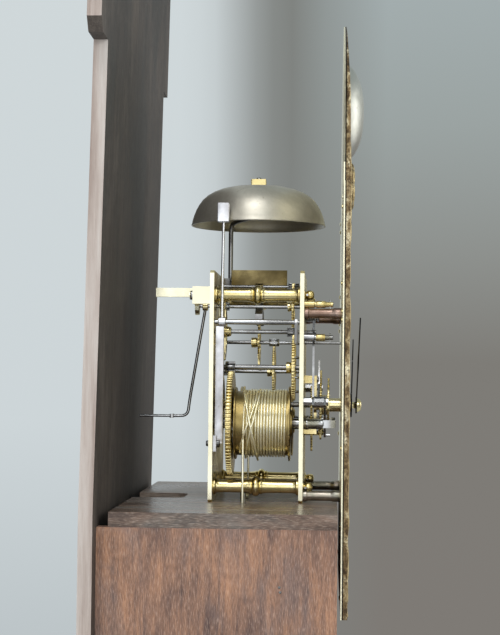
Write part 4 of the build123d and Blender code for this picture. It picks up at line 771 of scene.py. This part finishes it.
def chapter_rings():
    """Silvered rings with engraved and waxed numbers, minutes and half-hour marks; the matted middle."""
    p = Piece("chapter_rings_engraved", SILVERED, INK)
    ring(p, CENTRE, 141.0, 96.0, RING_FACE + 0.05, 1.4, 0)
    ring(p, ESCAPE, 32.0, 21.0, SECONDS_FACE + 0.05, 0.9, 0, 90)
    for r_out, r_in in ((139.4, 139.0), (130.4, 130.0), (98.6, 98.2), (105.4, 105.1)):
        ring(p, CENTRE, r_out, r_in, RING_FACE, 0.1, 1)
    for k in range(60):
        stroke(p, CENTRE, 130.2, 139.2, 90 - 6 * k, 0.45 if k % 5 else 1.3, RING_FACE)
    for k in range(48):
        stroke(p, CENTRE, 98.4, 105.3, 90 - 7.5 * k, 0.4, RING_FACE)

    def number(text, middle, r, y, size, angle, thick=0.12):
        p.words(text, off(middle, r, angle), y, size, math.radians(angle - 90), thick)

    for k in range(12):
        angle = 90 - 30 * k
        number(roman(k), CENTRE, 117.5, RING_FACE, 24.0, angle)
        number(str(5 * k or 60), CENTRE, 134.6, RING_FACE - 0.02, 7.6, angle)
        diamond = [polar(r, angle - 15 + turn) for r, turn in ((110, 0), (116, 1.4), (124, 0), (116, -1.4))]
        p.cut([diamond], CENTRE, RING_FACE, 0.12, 1, 0.02)
    for r_out, r_in in ((31.4, 31.1), (27.2, 26.9)):
        ring(p, ESCAPE, r_out, r_in, SECONDS_FACE, 0.08, 1, 90)
    for k in range(60):
        stroke(p, ESCAPE, 27.0, 31.2, 90 - 6 * k, 0.22 if k % 5 else 0.6, SECONDS_FACE)
    for k in range(1, 13):
        number(str(5 * k), ESCAPE, 23.9, SECONDS_FACE, 4.2, 90 - 30 * k, 0.06)
    p.done("chapter_rings")
    c = Piece("dial_centre_matting", MATTED, DIAL_BRASS)
    holes = [circle(r, count, (place[0] - CENTRE[0], place[1] - CENTRE[1]))
             for place, r, count in ((ESCAPE, 31.5, 72), (CENTRE, 8.5, 40), (STRIKE_BARREL, 8.0, 40),
                                     (GOING_BARREL, 8.0, 40))]
    c.cut([circle(95.6, 180)] + holes, CENTRE, -90.25, 0.3, 0, 0.05)
    for place in BARRELS.values():
        for r in (9.4, 11.6):
            ring(c, place, r + 0.8, r, -90.55, 0.5, 1, 60)
    c.done(body="root", slot="dial_brass")


def scroll(p, x, h, size, start, turns, way, y, r=2.2):
    """A cast scroll that winds in to an eye."""
    points, radii = [], []
    count = int(10 * turns) + 2
    for k in range(count):
        share = k / (count - 1)
        reach = size * (1 - 0.82 * share)
        a = math.radians(start) + way * 2 * math.pi * turns * share
        points.append((x + reach * math.cos(a), y + 0.6 * share, h + reach * math.sin(a)))
        radii.append(0.55 + 0.75 * math.sin(math.pi * min(1.0, share + 0.15)))
    p.wire(points, r, radii, sides=4, steps=4)


def leaf(p, x, h, length, degrees, width, y):
    """A ribbed leaf: a midrib and two curled edges."""
    ux, uh = polar(1, degrees)
    for side, r in ((0, 1.5), (0.5, 1.1), (-0.5, 1.1), (1, 0.9), (-1, 0.9)):
        points = []
        for share in (0, 0.3, 0.65, 1.0):
            bow = side * width * math.sin(math.pi * min(0.92, share * 0.8 + 0.12))
            points.append((x + ux * length * share - uh * bow, y + 0.4 * abs(side),
                           h + uh * length * share + ux * bow))
        p.wire(points, r, [0.7, 1.3, 1.1, 0.35], sides=3, steps=4)


def fade(height, start, run):
    """1 up to a height and less above it: the border thins out towards the top of the arch."""
    return 1.0 if height < start else max(0.15, 1.0 - (height - start) / run)


def dial_border():
    """Rough cast edging round the dial."""
    rng = random.Random(11)
    p = Piece("dial_border_cast", DIAL_BRASS)
    inward, side, foot = 1.9, DIAL_SIZE / 2, DIAL_SIZE / 2 - ARCH_R
    along, ledge = [DIAL_SIZE * k / 40 for k in range(41)], [foot * k / 5 for k in range(5)]
    edge = [(v - side, 0) for v in along[:-1]] + [(side, v) for v in along[:-1]]
    edge += [(side - v, DIAL_SIZE) for v in ledge]
    edge += [off((0, ARCH_OVER_LOW), ARCH_R, 3 * k) for k in range(61)]
    edge += [(foot - side - v, DIAL_SIZE) for v in ledge] + [(-side, DIAL_SIZE - v) for v in along]
    path, radii = [], []
    for x, h in edge:
        share = fade(h, 330, 110)
        path.append((x * (1 - inward / side), -90.3 - (1.4 + rng.random()) * share,
                     DIAL_LOW + h + (inward if h < 20 else -inward)))
        radii.append((0.6 + 0.45 * rng.random()) * share)
    p.wire(path, 1.7, radii, sides=3, steps=3)
    p.done(body="root", slot="dial_brass", sharp=60)


def dial_sheet():
    """The dial's plate, whose raised border thins out."""
    p = Piece("dial_plate_thinned", DIAL_BRASS)
    sheet = NODES["dial_plate"]
    copy = sheet.data.copy()
    copy.transform(sheet.matrix_world)
    p.mesh.from_mesh(copy)
    bpy.data.meshes.remove(copy)
    raised = spot(0, DIAL_FRONT - 0.2, 0).y
    for vert in p.mesh.verts:
        height = (vert.co.z - SEAT_TOP) * 1000
        if vert.co.y < raised and height > 300:
            vert.co.y = spot(0, DIAL_FRONT - BORDER_RISE * fade(height, 300, 75), 0).y
    p.done("dial_plate", sharp=40)


def spandrels():
    """Cast and gilt ornaments in the corners and at the arch's foot."""
    p = Piece("spandrels_cast", DIAL_BRASS)
    corner = DIAL_SIZE / 2 - 6
    for sx in (-1, 1):
        for sh in (-1, 1):
            cx, ch = sx * corner, DIAL_LOW + DIAL_SIZE / 2 + sh * corner
            turn = math.degrees(math.atan2(-sh, -sx))
            leaf(p, cx - sx * 4, ch - sh * 4, 30, turn, 5.0, -91.6)
            for side in (-1, 1):
                along, up = (1, 0) if side > 0 else (0, 1)
                spin = -sx * sh * side
                x, h = cx - sx * (9 + 20 * along), ch - sh * (9 + 20 * up)
                scroll(p, x, h, 9.5, turn + 180 * (side < 0), 1.3, spin, -91.6)
                x, h = cx - sx * (6 + 34 * along), ch - sh * (6 + 34 * up)
                scroll(p, x, h, 6.0, turn, 1.1, -spin, -91.4, 1.6)
                leaf(p, x, h, 11, 180 * (sx > 0) if along else -90 * sh, 2.4, -91.2)
        for x, h, size, way in ((60, 232, 10, 1), (82, 236, 13, -1), (100, 230, 8, 1), (94, 245, 10, 1),
                                (72, 246, 7, -1), (106, 240, 6, -1)):
            scroll(p, sx * x, h, size, 40 * size, 1.35, way * sx, -93.2, 2.9)
        leaf(p, sx * 78, 236, 20, 90 - sx * 40, 6.0, -94.2)
        leaf(p, sx * 56, 228, 16, 90 + sx * 60, 4.0, -92.6)
    p.done("spandrels")


def boss():
    """Silvered dome with a turned edge, and the rivets along the plate's back."""
    b = Piece("arch_boss_turned", SILVERED)
    dome = [(0, -15), (6, -14.9), (12, -14.5), (18, -13.6), (24, -11.9), (29, -9.8), (33, -7.4), (36.4, -4.6),
            (38.2, -2.6), (39.2, -2.2), (40.4, -2.4), (41, -1.6), (41, 0)]
    b.spin([(r, DIAL_FRONT + d) for r, d in dome] + [(0, DIAL_FRONT)], at(0, 0, 305.0) @ BEHIND_VIEW, 0, 96)
    b.done("arch_boss")
    r = Piece("dial_rivets", BRASS, DIAL_BRASS)
    rivet = [(s, DIAL_BACK + d) for s, d in ((0.9, 0), (2.0, 0.1), (1.7, 0.8), (0.8, 1.2))]
    for sx in (-1, 1):
        for h in (14, 62, 118, 208, 214, 236, 292, 299):
            r.turned(rivet, (sx * (143.0 if h < 230 else 104.0), DIAL_LOW + h), 1 if h == 299 else 0, 20)
    r.done(body="root", slot="brass")


def hand(piece, length, tail, w, turn, boss_r, hole_r, y0, place=CENTRE, lean=0.0):
    """Serpentine-edged steel hand, w wide at most to each side, its point bent a little forward."""
    side = [(w * 0.22, -tail), (w * 0.3, -tail * 0.4), (w * 0.28, length * 0.3), (w * 0.5, length * 0.42),
            (w, length * 0.5), (w * 0.8, length * 0.56), (w * 0.3, length * 0.6), (w * 0.42, length * 0.66),
            (w * 0.22, length * 0.74), (w * 0.14, length * 0.97)]
    blade = side + [(0, length)] + [(-x, y) for x, y in reversed(side)]
    a = math.radians(-turn)
    blade = [(x * math.cos(a) - y * math.sin(a), x * math.sin(a) + y * math.cos(a)) for x, y in blade]
    before = len(piece.mesh.verts)
    piece.cut([blade], place, y0 + 0.1, 1.0, 0, 0.15)
    piece.mesh.verts.ensure_lookup_table()
    middle = spot(place[0], 0, place[1])
    for vert in piece.mesh.verts[before:]:
        reach = math.hypot(vert.co.x - middle.x, vert.co.z - middle.z)
        vert.co.y -= lean * reach / length
    ring(piece, place, boss_r, hole_r, y0, 1.2, 0, 48)


def hands():
    p = Piece("hour_hand_cut", BLACK_STEEL)
    hand(p, 94, 0.1, 9.0, 55, 9.5, 5.45, -97.4, CENTRE, 2.4)
    p.done("hour_hand")
    p = Piece("minute_hand_cut", BLACK_STEEL, BRASS)
    hand(p, 130, 0.1, 5.2, -60, 6.5, 2.65, -101.4, CENTRE, 0.6)
    p.turned([(3.4, -104.6), (4.8, -103.4), (5.4, -102.2), (5.6, -101.4)], CENTRE, 1, 40)
    p.done("minute_hand")
    p = Piece("seconds_hand_cut", BLACK_STEEL)
    hand(p, 26, 9, 2.0, 200, 2.6, 1.05, -93.6, ESCAPE)
    p.done("seconds_hand")


# Weights and lines

def weights():
    for name, place in BARRELS.items():
        x, foot = place[0] - COIL_R + ROUND_PULLEY, PULLEY_H - 38
        w = Piece(name + "_weight_cast", LEAD, BRASS, STEEL)
        body = [(0, -235), (24.5, -235), (27.6, -234), (29, -231.6), (28.8, -120), (29, -8), (28.4, -4.2),
                (26.0, -2.0), (18, -0.4), (6, 0), (0, 0)]
        w.upright([(r, foot - 24 + d) for r, d in body], x, FALL_Y, 0, 72)
        cheek = [(5, foot)] + [off((0, PULLEY_H + 1), 5, 15 * k) for k in range(13)] + [(-5, foot)]
        for y in (-5.6, 4.0):
            w.cut([cheek], (x, 0), FALL_Y + y, 1.6, 1, 0.2)
        w.box((x - 5, x + 5), (FALL_Y - 5.6, FALL_Y + 5.6), (foot - 3, foot), 1, 0.4)
        pin = [(1.8, -6.5), (2.4, -6.2), (2.4, 6.2), (1.8, 6.5)]
        w.turned([(r, FALL_Y + d) for r, d in pin], (x, PULLEY_H), 2, 32)
        w.upright([(0, foot - 1.0), (1.8, foot - 1.2), (1.8, foot - 27), (0, foot - 27)], x, FALL_Y, 2, 24)
        w.done(name + "_weight")
        q = Piece(name + "_pulley_turned", BRASS)
        near = [(22.9, 0), (23.2, 0.9), (24.6, 1.9), (26, 2.6), (26, 3.4), (22.4, 3.4), (21.6, 2.0),
                (9.0, 2.0), (8.2, 3.4), (2.45, 3.4)]
        groove = near + [(r, -d) for r, d in reversed(near)]
        q.spin([(r, FALL_Y + d) for r, d in groove], at(x, 0, PULLEY_H) @ BEHIND_VIEW, 0, 96)
        q.done(name + "_pulley")


def loose_strands(p, place):
    """Strands of gut that lie across the winding."""
    for y_top, y_low, reach, start in ((-24.6, -12.4, 27.2, 52), (-17.2, -22.6, 27.3, 58),
                                       (-27.4, -16.6, 28.3, 66), (-15.0, -25.6, 28.6, 74)):
        bow = []
        for k in range(13):
            share = 0.5 - 0.5 * math.cos(math.pi * k / 12)
            x, h = off(place, reach + 1.2 * math.sin(math.pi * k / 12), 180 + start - 2 * start * k / 12)
            bow.append((x, y_low + (y_top - y_low) * share, h))
        p.wire(bow, GUT_R, steps=4)


def gut_lines():
    """Line in one layer on its barrel, down through the seatboard, round the pulley and up to its knot."""
    rng = random.Random(7)
    per_turn, turns = 16, 14.5
    for name, place in BARRELS.items():
        fall = place[0] - COIL_R
        mid, tie = fall + ROUND_PULLEY, fall + 2 * ROUND_PULLEY
        p = Piece(name + "_line_wound", GUT)
        coil = []
        for k in range(int(per_turn * turns) + 1):
            share = k / per_turn
            x, h = off(place, COIL_R + 0.02 * rng.random(), 180 + 360 * (share - turns))
            slip = 0.1 * math.sin(1.7 * share) if k >= 8 else 0
            coil.append((x, -47.3 + COIL_PITCH * share + slip, h))
        coil = coil[:-2] + [(fall - 0.05, FALL_Y - 0.25, place[1] + 3), (fall, FALL_Y, place[1] - 8),
                            (fall, FALL_Y, 30.0), (fall, FALL_Y, 8.0)]
        p.wire(coil, GUT_R, steps=3)
        if name == "strike":
            loose_strands(p, place)
        drop = [(fall, FALL_Y, 9.0 - 2.6 * k) for k in range(29)] + [(fall, FALL_Y, PULLEY_H + 6)]
        under = [off((mid, PULLEY_H), ROUND_PULLEY, 180 + 15 * k) for k in range(13)]
        rise = [(tie, FALL_Y, PULLEY_H + 6 + 2.6 * k) for k in range(29)] + [(tie, FALL_Y, 3.4)]
        p.wire(drop + [(x, FALL_Y, h) for x, h in under] + rise, GUT_R, steps=3)
        for a in (0, 120, 240):
            dx, dy = polar(1.5, a)
            knot = ((dx, dy, 0.6), (-dy * 1.6, dx * 1.6, 2.2), (-dx * 1.4, -dy * 1.4, 3.8), (dy, -dx, 4.6))
            p.wire([(tie + kx, FALL_Y + ky, kh) for kx, ky, kh in knot], 0.95, steps=5)
        made = p.done(name + "_line", body="none")
        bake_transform(made)


def case_nails():
    """Old nails in the boards of both sides."""
    p = Piece("case_nails", DARK_STEEL)
    for y, h in ((-46.3, -50.0), (-46.9, -53.4), (-70.0, -220.0), (60.0, -230.0), (-60.0, -620.0),
                 (50.0, -700.0)):
        for sx in (-1, 1):
            p.sideways([(r, sx * (CASE_SIDE - d)) for r, d in ((0, 0), (0.8, 0.05), (1.1, 0.3))], y, h)
    p.done(body="root", slot="steel")


# Stage

def plane(name, corners, material):
    mesh = bpy.data.meshes.new(name)
    mesh.from_pydata(corners, [], [(0, 1, 2, 3)])
    mesh.materials.append(material)
    made = add(name, mesh)


def lamp(name, place, target, size, power):
    data = bpy.data.lights.new(name, "AREA")
    data.shape, data.energy = "RECTANGLE", power
    data.size, data.size_y = size
    made = add(name, data)
    made.location = place
    made.rotation_euler = (Vector(target) - Vector(place)).to_track_quat("-Z", "Y").to_euler()


def backdrop():
    """World: even light for the object, and a grey sweep, paler to one side, where it is seen or mirrored."""
    world = bpy.data.worlds.new("soft_studio")
    bpy.context.scene.world = world
    world.use_nodes = True
    n = Nodes(world.node_tree)
    light = n.tree.nodes["Background"]
    n.fill(light, (214, 217, 219), 0.62)
    heading = n.node("ShaderNodeTexCoord").outputs["Generated"]
    height, side = n.spread(n.axis(heading, 2), -0.2, 0.3), n.spread(n.axis(heading, 1), -0.05, 0.10)
    pale = n.ramp(height, (0.08, (189, 197, 200)), (0.34, (205, 213, 216)), (1.0, (208, 216, 218)))
    dark = n.ramp(height, (0.1, (126, 122, 117)), (0.42, (126, 124, 119)), (0.56, (142, 145, 142)),
                  (0.72, (155, 163, 162)), (0.88, (163, 173, 174)))
    trough = n.ramp(side, (0.1, 0.0), (0.36, 0.55), (0.5, 1.0))
    paler = n.ramp(side, (0.5, 0.0), (0.58, 0.06), (0.652, 0.22), (0.737, 0.52), (0.823, 0.84), (0.89, 0.94),
                   (0.97, 1.0))
    seen = n.fill(n.node("ShaderNodeBackground"), n.mix(paler, n.mix(trough, dark, (128, 131, 128)), pale))
    ray = n.node("ShaderNodeLightPath").outputs
    mirrored = n.maths("MAXIMUM", ray["Is Camera Ray"], ray["Is Glossy Ray"])
    mirrored = n.maths("MAXIMUM", mirrored, ray["Is Transmission Ray"])
    both = n.fill(n.node("ShaderNodeMixShader"), mirrored, light.outputs[0], seen)
    n.link(both, n.tree.nodes["World Output"].inputs[0])


def light_and_floor():
    bpy.context.scene.view_settings.view_transform = "Standard"
    paper = Finish("pale_floor", 0.8)
    paper.colour(paper.ramp(paper.noise(2.0), (0.3, (196, 199, 200)), (0.7, (202, 205, 206))))
    plane("floor", [(-6, -6, 0), (6, -6, 0), (6, 6, 0), (-6, 6, 0)], paper.material)
    backdrop()
    movement, case = (0, 0, SEAT_TOP + 0.1), (0, 0, 1.2)
    lamp("wide", (-3.4, -0.3, SEAT_TOP + 0.5), movement, (3.8, 2.3), 36)
    lamp("key", (-1.9, -2.3, SEAT_TOP + 1.3), movement, (1.3, 1.3), 30)
    lamp("fill", (-2.2, 2.4, SEAT_TOP + 0.3), movement, (1.2, 2.2), 16)
    lamp("strip", (-1.6, 0.2, SEAT_TOP + 2.2), movement, (0.9, 1.6), 22)
    lamp("front", (1.2, -3.2, 1.9), case, (2.0, 2.4), 40)
    lamp("back", (1.4, 3.0, 2.2), case, (1.6, 2.2), 26)


make_camera()
for make_part in (strike_train, going_train, pillars, bell, hammer, cock_and_crutch, motion_work,
                  front_details, chapter_rings, dial_sheet, dial_border, spandrels, boss, hands, weights,
                  gut_lines, case_nails):
    make_part()
light_and_floor()
